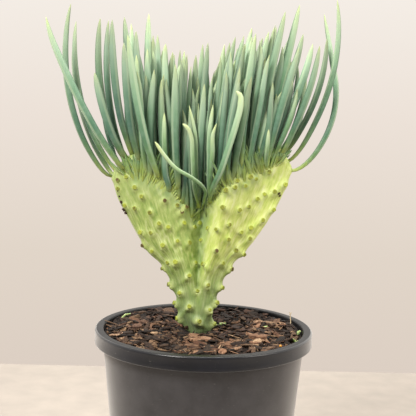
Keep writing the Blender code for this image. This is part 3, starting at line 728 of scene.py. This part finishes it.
def on_front(places):
    """Turn (sideways, height) places in mm into places on the fan's front: along, rise and side."""
    sideways, height = np.array(places).T / 1000
    rise = height / 0.140
    # Along and rise depend on each other, so they are worked out in turn until they settle
    for _ in range(30):
        along = (sideways + FRONT_SHIFT - (FAN_X - FOOT_X) * rise) / half_width(np.clip(rise, 0, 1))
        along = np.clip(along, -0.985, 0.985)
        rise = np.clip(height / (through(CREST, along) - CROWN_HEIGHT), 0.04, 0.97)
    return np.stack([along, rise, -np.ones(len(along))], 1)


front_scars = on_front(FRONT_SCARS)
# The back has its own, in staggered rows that open out with the fan
back_scars = []
for row in range(11):
    rise = 0.08 + 0.082 * row
    count = int(round(2 + 6 * float(through(SPREAD, rise))))
    place = (np.arange(count) + 0.5 + 0.5 * (row % 2)) / (count + 0.5) * 2 - 1
    place = np.clip(0.92 * place + chance.uniform(-0.25, 0.25, count) / count, -0.96, 0.96)
    back_scars.append(np.stack([place, rise + chance.uniform(-0.02, 0.02, count), np.ones(count)], 1))
scars = np.concatenate([front_scars] + back_scars)


def fan_face(along, rise, side):
    """A point on the fan's front (side -1) or back (side 1), with the foot drawn in where it enters the mix."""
    x, y, z = fan_sheet(along, rise)
    neck = FOOT_NECK + (1 - FOOT_NECK) * ease((rise + 0.02) / 0.15)
    x = FOOT_X + FOOT_SHIFT * (1 - neck) + (x - FOOT_X) * neck
    return np.stack([x, (y + side * half_depth(along, rise)) * neck, z], -1)


def fan_frame(along, rise, side):
    """That point, and the unit vectors there: sideways over the skin, up over it, and out of it."""
    here = fan_face(along, rise, side)
    run = unit(fan_face(along + 0.004, rise, side) - fan_face(along - 0.004, rise, side))
    climb = fan_face(along, rise + 0.01, side) - fan_face(along, rise - 0.01, side)
    out = unit(np.cross(run, climb) * -side[:, None])
    return here, run, np.cross(out, run) * -side[:, None], out


def fluting(points, middles, run, climb, out, mound, breadth, ridge, length):
    """Height of the skin round each seat: a round mound, and a ridge that runs down from it and fades."""
    flat = points.reshape(-1, 3)
    total = np.zeros(len(flat))
    mound, breadth, ridge, length = (np.broadcast_to(each, len(middles)) for each in (mound, breadth, ridge, length))
    for k in range(len(middles)):
        off = flat - middles[k]
        near = np.abs(off).max(1) < 3.2 * breadth[k] + length[k]
        off = off[near]
        across_it, up_it, through_it = off @ run[k], off @ climb[k], off @ out[k]
        held = np.exp(-(through_it / 0.006) ** 2)
        bump = mound[k] * np.exp(-(across_it**2 + up_it**2) / breadth[k] ** 2)
        tail = ridge[k] * np.exp(-(across_it / (0.75 * breadth[k])) ** 2) * ease(-up_it / breadth[k])
        tail = tail * np.exp(np.minimum(up_it, 0) / length[k])
        total[near] += held * (bump + tail)
    return total.reshape(points.shape[:-1])


SKIN_COLUMNS = 320
CLIMB_ROWS = 170
even = circle(SKIN_COLUMNS)
turn = even + 0.12 * np.sin(2 * even)
along = np.cos(turn)
side = np.where(np.sin(turn) < 0, -1.0, 1.0)
foot_rows = [fan_face(along, 0 * along, side) - [0, 0, deep] for deep in (FOOT_IN_MIX, 0.010, 0.006, 0.003)]
rises = np.linspace(0, 1, CLIMB_ROWS)
climb_rows = fan_face(along[None], rises[:, None], side)
crown_rows = [crown_point(along, side * across) for across in np.linspace(90, 0, 26)[1:]]
skin = np.concatenate([foot_rows, climb_rows, crown_rows])
rise_at = np.concatenate([np.full(4, 0.0), rises, np.linspace(1, 1.18, 25)])[:, None] + 0 * along
round_it = np.roll(skin, -1, 1) - np.roll(skin, 1, 1)
up_it = np.gradient(skin, axis=0)
outward = unit(np.cross(round_it, up_it) + 1e-12)
settle = ease(rise_at / 0.02) * (1 - ease((rise_at - 1.12) / 0.05))

scar_frame = fan_frame(*scars.T)
scar_middle, scar_out = scar_frame[0], scar_frame[3]
low_down = 1 - ease(scars[:, 1] / 0.75)
chance = np.random.default_rng(52)
scar_size = chance.uniform(0.85, 1.15, len(scars))
scar_mounds = fluting(skin, *scar_frame, (0.0019 + 0.0024 * low_down) * scar_size, 0.0034 * scar_size,
                      (0.0016 + 0.0018 * low_down) * scar_size, 0.0090 + 0.004 * low_down)
halo = fluting(skin, *scar_frame, 1.0, 0.0036, 0.0, 0.001)
tails = fluting(skin, *scar_frame, 0.0, 0.0020, 1.0, 0.0065 + 0.003 * low_down)

seat_place, seat_across = np.concatenate([named_seats, crown_seats]).T
seat_point = crown_point(seat_place, seat_across)
seat_out = crown_normal(seat_place, seat_across)
seat_run = unit(crown_run(seat_place, seat_across))
seat_climb = unit(np.cross(seat_run, seat_out))
seat_climb = seat_climb * np.where(seat_climb[:, 2:] < 0, -1, 1)
collar = fluting(skin, seat_point, seat_run, seat_climb, seat_out, 0.0007, 0.0023, 0.0009, 0.0110)

flow = np.stack([0.050 * np.cos(turn) + 0 * rise_at, 0.050 * np.sin(turn) + 0 * rise_at, 0.150 * rise_at], -1)
grown = 0.0007 * lumps(skin, 0.017, 21) + 0.0004 * lumps(flow * [1, 1, 0.28], 0.0042, 22)
grown = grown + 0.0008 * lumps(skin, 0.0095, 23) * (1 - ease((rise_at - 0.02) / 0.10))
grown = grown + scar_mounds + collar - 0.0006 * ease((rise_at - 0.9) / 0.1)
skin = skin + outward * (grown * settle)[..., None]

# Living skin: moist green tissue under a thin waxy bloom. It is yellow-green and streaked lengthwise, paler round
# each scar and on the flutes under the leaf bases, and greyer and darker towards the foot. Light and shade are also
# painted
# on: the right lobe is painted brighter as if lit and the left lobe darker, the deep fold takes a bluer painted
# shade, and the gaps between the leaf bases are painted darker as shade.
stem_skin, tree, shader, place = new_material("waxy succulent stem skin", 0.46, Subsurface_Weight=0.08,
                                              Subsurface_Scale=0.0015, Sheen_Weight=0.12, Sheen_Roughness=0.4)
shader.inputs["Subsurface Radius"].default_value = (0.9, 1.0, 0.35)
flow_at = painted(tree, "flow", "Vector")
drawn = add_node(tree, "Mapping", {0: flow_at, 3: (420.0, 420.0, 95.0)})
streak = add_node(tree, "TexNoise", {"Vector": drawn, "Scale": 1.0, "Detail": 5.0, "Roughness": 0.65})
wide = add_node(tree, "Mapping", {0: flow_at, 3: (120.0, 120.0, 60.0)})
patch = add_node(tree, "TexNoise", {"Vector": wide, "Scale": 1.0, "Detail": 3.0})
blotch = add_node(tree, "Math", {0: patch, 1: 0.55, 2: streak}, operation="MULTIPLY_ADD")
# The right lobe gets a brighter ramp than the left: painted light on the right lobe, painted shade on the left
shaded_left_green = add_node(tree, "ValToRGB", {0: blotch},
                      stops=((0.50, "#6c8b3e"), (0.68, "#8aa34e"), (0.82, "#a6b768"), (1.0, "#c8d399")))
lit_right_green = add_node(tree, "ValToRGB", {0: blotch},
                       stops=((0.50, "#a2bd4e"), (0.68, "#c3d56c"), (0.82, "#d5e08a"), (1.0, "#e6edb2")))
skin_green = shaded_left_green
for mask, colour in (("right_lobe_lit", lit_right_green), ("greyer_at_foot", "#748a5e"), ("fold", "#86a67c"),
                     ("near_crest", "#a6b978"), ("tail", "#8fae48"), ("halo", "#c6d188"),
                     ("collar_gap_shade", "#7b9a68"), ("flute", "#a6ba68")):
    skin_green = blend_in(tree, skin_green, painted(tree, mask), colour)
pores = add_node(tree, "TexNoise", {"Vector": place, "Scale": 900.0, "Detail": 3.0})
fine = add_node(tree, "Math", {0: streak, 1: 2.5, 2: pores}, operation="MULTIPLY_ADD")
coat(tree, shader, skin_green, fine, 0.35, 0.0006)

# The two halves of the skin meet along the crest line, and merging joins them there and closes the foot
stem = add_piece("crested_stem_skin", skin, [grid_faces(skin.shape[0], SKIN_COLUMNS)], [stem_skin])
# The fold mask lays a bluer, darker painted shade down the crease
fold = np.exp(-((along[None] - 0.055 * ease((rise_at - 0.3) / 0.7)) / 0.08) ** 2) * ease((rise_at - 0.25) / 0.5)
masks = {
    # Painted light: the right lobe takes the brighter ramp
    "right_lobe_lit": ease((along[None] - 0.00) / 0.12) * ease((rise_at - 0.22) / 0.30),
    # Greyer and darker towards the foot
    "greyer_at_foot": 0.84 * (1 - ease(rise_at / 0.62)) + 0.02 * (1 - ease(rise_at / 0.16)),
    "fold": fold * np.where(side < 0, 0.38, 0.30),
    "near_crest": 0.42 * ease((rise_at - 0.60) / 0.36) * (1 - 0.55 * ease((along[None] - 0.02) / 0.12)),
    "tail": np.clip(0.60 * tails, 0, 0.75),
    "halo": np.clip(0.85 * halo - 0.1, 0, 0.85),
    # Painted shade in the gaps between the leaf bases, round the crest
    "collar_gap_shade": ease((rise_at - 0.84) / 0.14) * np.clip(0.85 - collar / 0.0006, 0, 0.85)
    * (1 - ease((np.abs(along[None]) - 0.74) / 0.12)),
    "flute": ease((rise_at - 0.84) / 0.14) * np.clip(collar / 0.0008 - 0.5, 0, 0.7),
}
for name, values in masks.items():
    paint(stem, name, values + 0 * rise_at)
paint(stem, "flow", flow, "FLOAT_VECTOR")
merged(stem, 4e-6)
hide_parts("crested_stem")

# Leaf-scar stubs: corky olive pegs that point out and up, longest near the foot, with a sunken brown tip
corky_tip, tree, shader, place = new_material("dried leaf-scar cork", 0.7)
speck = add_node(tree, "TexNoise", {"Vector": place, "Scale": 800.0, "Detail": 3.0})
tip_shade = add_node(tree, "Math", {0: painted(tree, "age"), 1: speck}, operation="ADD")
cork = add_node(tree, "ValToRGB", {0: tip_shade},
                stops=((0.42, "#a6b23a"), (0.66, "#869028"), (0.92, "#6f7022"), (1.0, "#54431e")))
shank = add_node(tree, "ValToRGB", {0: speck}, stops=((0.35, "#9fb05c"), (0.70, "#c0cc86")))
coat(tree, shader, blend_in(tree, shank, painted(tree, "tip"), cork), speck, 0.5, 0.0004)

# (distance out, radius) in mm, and how far the tip's colour has come
PEG_SECTION = ((-1.6, 2.90, 0), (0.3, 2.35, 0), (1.7, 2.05, 0.1), (3.0, 2.05, 0.45), (3.5, 1.85, 0.8), (3.6, 1.30, 1))
peg_out, peg_radius, peg_tip = np.array(PEG_SECTION).T
reach = (0.72 + 0.62 * low_down) * scar_size
axis = unit(scar_out + np.array([0, 0, 0.40]) + 0.10 * chance.normal(0, 1, (len(scars), 3)))
first_side = unit(np.cross(axis, np.array([0.3, 0.1, 1.0])))
second_side = np.cross(axis, first_side)
even = circle(10)
waist = peg_radius[None, :, None] * scar_size[:, None, None] * chance.uniform(0.90, 1.10, (len(scars), 1, 10)) / 1000
centre = scar_middle + scar_out * (0.0006 + 0.0008 * low_down)[:, None]
lengthwise = (peg_out[None, :] * reach[:, None] / 1000)[..., None] * axis[:, None]
rings = swept(centre[:, None] + lengthwise, first_side[:, None], second_side[:, None], waist * np.cos(even),
              waist * np.sin(even))
ends = centre[:, None] + (np.array([-1.8, 3.05])[None] * reach[:, None] / 1000)[..., None] * axis[:, None]
pegs = add_forms("leaf_scar_stubs", rings, ends, [corky_tip])
tips = np.concatenate([np.repeat(peg_tip, 10), [0, 1]])
paint(pegs, "tip", np.tile(tips, len(scars)))
sunken = np.tile(0.26 * (tips > 0.95), len(scars))
old = chance.uniform(-0.25, 0.10, len(scars)) + 0.35 * (chance.uniform(0, 1, len(scars)) < 0.10)
paint(pegs, "age", np.repeat(old, len(tips)) + sunken)

# Dried scabs: black-brown crusts where old wounds sealed, on both edges of the front and beside the foot
scab_crust = speckled("dried black-brown scab", 0.85, 1100.0, 4.0,
                      ((0.35, "#1c130c"), (0.55, "#3f2b1c"), (0.72, "#7a5732")), 0.8, 0.0005)

# (sideways, height) in mm, as for the scars, and the size of each
SCABS = ((-79, 133, 0.6), (-78, 130, 0.8), (-77, 125, 0.6), (-75, 120, 1.0), (-74, 117, 0.7), (-73, 113, 1.1),
         (-74, 110, 0.9), (60, 133, 0.6), (59, 131, 0.5), (67, 131, 0.9), (68, 129, 0.7), (65, 130, 0.5),
         (-24, 9, 1.2), (-20, 7, 1.5), (-17, 5, 1.4))
scab_places = on_front([scab[:2] for scab in SCABS])
scab_size = np.array(SCABS)[:, 2]
scab_middle, scab_run, scab_climb, scab_out = fan_frame(*scab_places.T)
chance = np.random.default_rng(61)
even = circle(9)
# (distance out, radius) in mm
SCAB_SECTION = np.array(((-1.2, 0.9), (0.8, 1.3), (1.7, 1.1), (2.2, 0.6))).T[:, None, :, None]
reach, waist = SCAB_SECTION * chance.uniform(0.65, 1.25, (2, len(SCABS), 4, 9)) * scab_size[:, None, None] / 1000
rings = (scab_middle[:, None, None] + reach[..., None] * scab_out[:, None, None]
         + (waist * np.cos(even))[..., None] * scab_run[:, None, None]
         + (1.3 * waist * np.sin(even))[..., None] * scab_climb[:, None, None])
ends = scab_middle[:, None] + np.array([-0.0013, 0.0021])[None, :, None] * (scab_size[:, None] * scab_out)[:, None]
add_forms("dried_scabs", rings, ends, [scab_crust], smooth=False)


# Leaves: fleshy, pencil-like blades, blue-green under a waxy bloom, that grow out of the crest and turn
# upright. They are yellow-green at the base and at the drawn-out tip, a little flat, and no two alike.
LEAF_DIAMETER = 0.0061
LEAF_KINK = 0.006
LEAF_TAPER = ((0, 0.56), (0.05, 0.64), (0.12, 0.76), (0.24, 0.90), (0.42, 1.0), (0.64, 1.0), (0.78, 0.90),
              (0.89, 0.70), (0.955, 0.44), (0.988, 0.24), (1, 0.08))
BLUNT_TAPER = ((0, 0.50), (0.08, 0.66), (0.25, 0.86), (0.50, 1.0), (0.80, 0.98), (0.93, 0.92), (0.97, 0.76),
               (1, 0.30))


def leaf_spines(seats, length, lean, tilt, hook, square_share, steps):
    """Middle lines of many leaves: each leaves the crown square to it, and turns within a few millimetres to
    its own lean sideways and tilt backward, which change evenly from foot to tip; the hook bends its tip. The
    third number in lean is the share of the length after which the lean stays as it is."""
    place = np.linspace(0, 1, steps + 1)
    out = crown_normal(seats[:, 0], seats[:, 1])
    turned = np.minimum(place / lean[:, 2:], 1)
    swing = lean[:, :1] + (lean[:, 1:2] - lean[:, :1]) * turned + hook[:, None] * ease((place - 0.80) / 0.2)
    swing = np.radians(swing)
    back = np.radians(tilt[:, :1] + (tilt[:, 1:] - tilt[:, :1]) * place)
    grown = np.stack([np.sin(swing) * np.cos(back), np.sin(back), np.cos(swing) * np.cos(back)], -1)
    square = square_share * np.exp(-place * length[:, None] / LEAF_KINK)[..., None]
    heading = unit(grown * (1 - square) + out[:, None] * square)
    middle = (heading[:, 1:] + heading[:, :-1]) / 2 * (length / steps)[:, None, None]
    foot = crown_point(seats[:, 0], seats[:, 1]) - out * 0.0012 - grown[:, 0] * 0.005 * (1 - square_share)
    return np.concatenate([foot[:, None], foot[:, None] + np.cumsum(middle, 1)], 1)


def leaf_forms(line, girth, taper, sides, chance):
    """Blades swept along their middle lines: an oval section, wider than deep, with a faint keel behind."""
    count, stations, _ = line.shape
    place = np.linspace(0, 1, stations)
    sway = lumps(np.stack([place * 2.2 + np.zeros((count, 1)), np.arange(count)[:, None] * 3.7 + 0 * place,
                           np.zeros((count, stations))], -1), 1.0, 31)
    line = line + np.array([0.0022, 0, 0]) * (sway * ease(place / 0.3))[..., None]
    heading = unit(np.gradient(line, axis=1))
    first_side = unit(np.array([1.0, 0, 0]) - heading[..., :1] * heading)
    second_side = np.cross(heading, first_side)
    even = circle(sides)
    radius = LEAF_DIAMETER / 2 * through(taper, place) * girth[:, None] * (1 + 0.05 * sway)
    twist = chance.uniform(-0.5, 0.5, count)[:, None, None] + even
    keel = 1 + 0.08 * np.cos(3 * even + 1.2)
    rings = swept(line, first_side, second_side, 1.10 * radius[..., None] * np.cos(twist) * keel,
                  0.86 * radius[..., None] * np.sin(twist) * keel)
    ends = np.stack([line[:, 0] - heading[:, 0] * 0.0010, line[:, -1] + heading[:, -1] * 0.0006], 1)
    return rings, ends, place


def add_leaves(name, line, girth, sides, chance, age, taper=LEAF_TAPER, light=0.0, reach=1.0):
    """Add leaves as one piece, with what their material reads: place along, tone, age, and the side that takes a
    painted highlight line and painted shade.
    """
    rings, ends, place = leaf_forms(line, girth, taper, sides, chance)
    piece = add_forms(name, rings, ends, [leaf_skin])
    count = len(line)
    up = np.concatenate([np.repeat(place, sides), [0, 1]])
    paint(piece, "up", np.tile(up * reach, count))
    paint(piece, "tone", np.repeat(chance.uniform(light, 1, count), len(up)))
    paint(piece, "age", np.repeat(age, len(up)))
    # Which side of each leaf, front right or front left, takes the painted highlight line; the opposite side takes
    # painted shade
    lit_side_at = chance.choice([-0.75, 0.75 - np.pi], count)
    ring = np.cos(circle(sides) - lit_side_at[:, None])
    paint(piece, "edge", np.concatenate([np.tile(ring, (1, len(place))), np.zeros((count, 2))], 1))
    return piece


# Succulent leaf skin: blue-green flesh under a pale matt wax that rubs off in streaks. The wax scatters light at the
# edges, and the thin tip and the base let the yellow-green show. Light and shade are also painted along each leaf: it
# is darkest about a third up, as painted shade where the leaves crowd, and paler towards the tip, partly the wax and
# partly painted light. One side has a painted highlight line and the other painted shade.
leaf_skin, tree, shader, place = new_material("waxy blue-green succulent leaf", 0.46, Subsurface_Weight=0.06,
                                              Subsurface_Scale=0.001, Sheen_Weight=0.30, Sheen_Roughness=0.30)
shader.inputs["Subsurface Radius"].default_value = (0.6, 1.0, 0.5)
up_at, tone_at, age_at = painted(tree, "up"), painted(tree, "tone"), painted(tree, "age")
drawn = add_node(tree, "Mapping", {0: place, 3: (620.0, 620.0, 42.0)})
streak = add_node(tree, "TexNoise", {"Vector": drawn, "Scale": 1.0, "Detail": 3.0, "Roughness": 0.6})
waved = add_node(tree, "Math", {0: streak, 1: 0.12, 2: up_at}, operation="MULTIPLY_ADD")
along_it = add_node(tree, "Math", {0: waved, 1: 0.06}, operation="SUBTRACT")
# Along the leaf: yellow-green base, painted shade darkest about a third up, and paler towards the tip, partly wax and
# partly painted light
blue = add_node(tree, "ValToRGB", {0: along_it},
                stops=((0.0, "#b6c464"), (0.06, "#9db35f"), (0.15, "#658b5b"), (0.32, "#527f6c"), (0.60, "#7fa98e"),
                       (0.82, "#a9c9ae"), (0.95, "#b8d0a6"), (1.0, "#c4d196")))
green = add_node(tree, "ValToRGB", {0: along_it},
                 stops=((0.0, "#a8b64e"), (0.10, "#84a04c"), (0.30, "#5f8852"), (0.62, "#86ab76"),
                        (0.86, "#bacfa0"), (1.0, "#c8d590")))
base_green = blend_in(tree, blue, age_at, green)
bloom = add_node(tree, "TexNoise", {"Vector": place, "Scale": 160.0, "Detail": 4.0, "Roughness": 0.6})
bloom_mask = add_node(tree, "MapRange", {0: bloom, 1: 0.42, 2: 0.75, 4: 0.30})
base_green = blend_in(tree, base_green, bloom_mask, "#a3bfae")
# Painted shade down one side of each leaf, and a painted highlight line down the other side above the base
painted_shade_side = add_node(tree, "MapRange", {0: painted(tree, "edge"), 1: 0.15, 2: -0.70, 4: 0.70})
base_green = blend_in(tree, base_green, painted_shade_side, "#3f6450")
painted_highlight_line = add_node(tree, "MapRange", {0: painted(tree, "edge"), 1: 0.84, 2: 1.0, 4: 0.62})
past_base = add_node(tree, "MapRange", {0: up_at, 1: 0.05, 2: 0.35})
painted_highlight_line = add_node(tree, "Math", {0: painted_highlight_line, 1: past_base}, operation="MULTIPLY")
base_green = blend_in(tree, base_green, painted_highlight_line, "#c2d8b6")
strength = add_node(tree, "MapRange", {0: tone_at, 3: 0.62, 4: 1.04})
leaf_green = add_node(tree, "VectorMath", {0: base_green, "Scale": strength}, operation="SCALE")
coat(tree, shader, leaf_green, streak, 0.20, 0.0004)

# Two odd ones bend forward and out of the row, through (right, back, up from the rim) in mm
FRONT_PATHS = {
    "leaf_curled": ((-4.6, 3, 109), (-1.5, -10, 119), (0.4, -20, 128.4), (-3.4, -26, 134.3), (-11.5, -31, 140.6),
                    (-25.8, -35, 149), (-35.3, -37, 159.2), (-43.7, -39, 171.2)),
    "leaf_club_shaped": ((2.4, -3, 115), (4, -15, 124), (8.3, -24, 135), (13, -29, 145), (20.1, -33, 167.5),
                         (25.9, -34, 188.6), (29.2, -34, 205.9), (28.7, -33.5, 213.1), (25.4, -33.5, 216)),
}
FRONT_AGES = {"leaf_curled": 1.0, "leaf_club_shaped": 0.5}


def leaf_path(path, steps):
    """A middle line drawn smoothly through a few places, with stations evenly spread over its length."""
    places = np.array(path, float) / 1000 + [0, 0, POT_HEIGHT]
    way = np.concatenate([[0], np.cumsum(np.linalg.norm(np.diff(places, axis=0), axis=1))])
    at = np.linspace(0, way[-1], steps + 1)
    return np.stack([through(np.column_stack([way, places[:, k]]), at) for k in range(3)], -1)[None]


chance = np.random.default_rng(77)
for name, (leaf, girth, hook) in named_leaves.items():
    place, across, length, lean, tilt = leaf
    width = np.array([girth * chance.uniform(0.98, 1.12) * (1 - 0.20 * ease((abs(place) - 0.80) / 0.12))])
    young = np.array([chance.uniform(0, 0.4)])
    if name in FRONT_PATHS:
        line, young, taper = leaf_path(FRONT_PATHS[name], 34), np.array([FRONT_AGES[name]]), BLUNT_TAPER
        width = np.array([0.74 * girth])
    else:
        one = [np.array([each], float) for each in ((place, across), length, (*lean, 1.0)[:3], tilt, hook)]
        line = leaf_spines(one[0], one[1] / 1000, *one[2:], 1.0, 30)
        taper = LEAF_TAPER
    piece = add_leaves(f"{name}_blade", line, width, 12, chance, young, taper, 0.9 * (name in FRONT_PATHS))
    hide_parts(name)

# More odd young leaves at the front of the fold, drawn the same way: (path, girth, age, taper)
YOUNG_FRONT = {
    "hooked_stub": (((-7, 1, 110), (-10, -18, 136), (-11.5, -25, 161), (-13, -26, 176), (-16.5, -27, 184),
                     (-20.5, -27, 187)), 0.64, 0.9, BLUNT_TAPER),
    "hooked_right": (((4, -7, 116), (5, -20, 142), (6, -26, 163), (6, -27, 179), (8.8, -27, 188)), 0.72, 0.9,
                     LEAF_TAPER),
    "beside_the_fold": (((3, -6, 116), (4, -19, 150), (3.5, -23, 180), (5.5, -24, 204)), 0.80, 0.6, LEAF_TAPER),
    "pale_tipped": (((-6, 1, 111), (-8, -17, 150), (-10, -22, 180), (-15.5, -23, 203)), 0.62, 0.8, LEAF_TAPER),
    "short_right": (((53, -11, 148), (54, -23, 168), (54.5, -25, 184)), 0.62, 1.0, LEAF_TAPER),
    "low_left": (((-33, -9, 140), (-36, -22, 168), (-37, -25, 196)), 0.7, 0.8, LEAF_TAPER),
}
for name, (path, girth, age, taper) in YOUNG_FRONT.items():
    add_leaves(f"young_leaf_{name}", leaf_path(path, 24), np.array([girth]), 10, chance, np.array([age]), taper, 0.7)

# How the other leaves change over the crest: their lean at foot and tip in degrees, and their length in mm
LEAN_FOOT = ((-1, -38), (-0.85, -24), (-0.70, -9), (-0.50, -7), (-0.20, -3), (0, 0), (0.20, 5), (0.45, 7),
             (0.60, 10), (0.75, 18), (0.87, 29), (1, 46))
LEAN_TIP = ((-1, 2), (-0.85, -2), (-0.70, -4), (-0.50, -1), (-0.20, 0), (0, 3), (0.20, 7), (0.45, 10),
            (0.60, 12), (0.75, 11), (0.87, 6), (1, -6))
LENGTHS = ((-1, 60), (-0.85, 78), (-0.70, 100), (-0.50, 116), (-0.30, 116), (-0.10, 118), (0, 124), (0.12, 120),
           (0.30, 116), (0.55, 116), (0.70, 106), (0.85, 84), (1, 62))
for row, name in enumerate(("front", "front_second", "front_third", "middle_front", "middle_back",
                            "back_third", "back_second", "back")):
    nearest = np.abs(crown_seats[:, 1:] - np.array(CROWN_ROWS)).argmin(1) == row
    seats = crown_seats[nearest]
    count = len(seats)
    place, across = seats.T
    chance = np.random.default_rng(200 + row)
    length = through(LENGTHS, place) * chance.uniform(0.78, 1.06, count) / 1000
    if row < 2:
        length = length * chance.choice([0.45, 0.70, 0.88, 1.0], count, p=[0.08, 0.17, 0.35, 0.40])
    girth = chance.uniform(0.74, 1.12, count) * (1 - 0.32 * np.exp(-((place + 0.05) / 0.16) ** 2))
    girth = girth * (1 - 0.34 * ease((np.abs(place) - 0.72) / 0.15))
    lean = np.stack([through(LEAN_FOOT, place) + chance.normal(0, 3.5, count),
                     through(LEAN_TIP, place) + chance.normal(0, 4.0, count), np.ones(count)], 1)
    tilt = np.stack([0.09 * across + chance.normal(0, 2.0, count),
                     0.05 * across + 2 + chance.normal(0, 2.5, count)], 1)
    line = leaf_spines(seats, length, lean, tilt, chance.normal(0, 7, count), 0.35, 16)
    if row == 0:
        line[..., 2] -= (chance.uniform(0, 0.006, count) * (place < 0.1))[:, None]
    add_leaves(f"crown_leaves_{name}", line, girth, 8, chance, chance.beta(1.1, 2.8, count))

# Short narrow bracts hug both faces just under the crest and feather the skin into the leaves
BRACT_TAPER = ((0, 0.25), (0.12, 0.55), (0.35, 0.95), (0.60, 1.0), (0.85, 0.62), (1, 0.10))
BRACTS_A_SIDE = 230
for side, name in ((-1, "front"), (1, "back")):
    chance = np.random.default_rng(500 + side)
    count = BRACTS_A_SIDE
    place = np.linspace(-0.84, 0.86, count) + chance.normal(0, 0.006, count)
    place = place + np.where(place < 0.03, -0.05, 0.05) * np.exp(-((place - 0.03) / 0.06) ** 2)
    drop = chance.uniform(0.000, 0.012, count)
    start, run, climb, out = fan_frame(place, 0.995 - drop / 0.14, np.full(count, float(side)))
    length = chance.uniform(0.012, 0.026, count) * (1 - 0.4 * ease((np.abs(place) - 0.55) / 0.25)) + drop
    fan_out = np.stack([np.sin(np.radians(through(LEAN_FOOT, place))), 0 * place, 0 * place], -1)
    rise_dir = unit(climb + 0.7 * fan_out)
    share = np.linspace(0, 1, 9)[None, :, None]
    line = (start[:, None] + out[:, None] * (0.0016 * share - 0.0004)
            + rise_dir[:, None] * share * length[:, None, None])
    add_leaves(f"leaf_bracts_{name}", line, chance.uniform(0.28, 0.52, count), 6, chance,
               chance.uniform(0.2, 1.0, count), BRACT_TAPER, 0.6, 0.19)
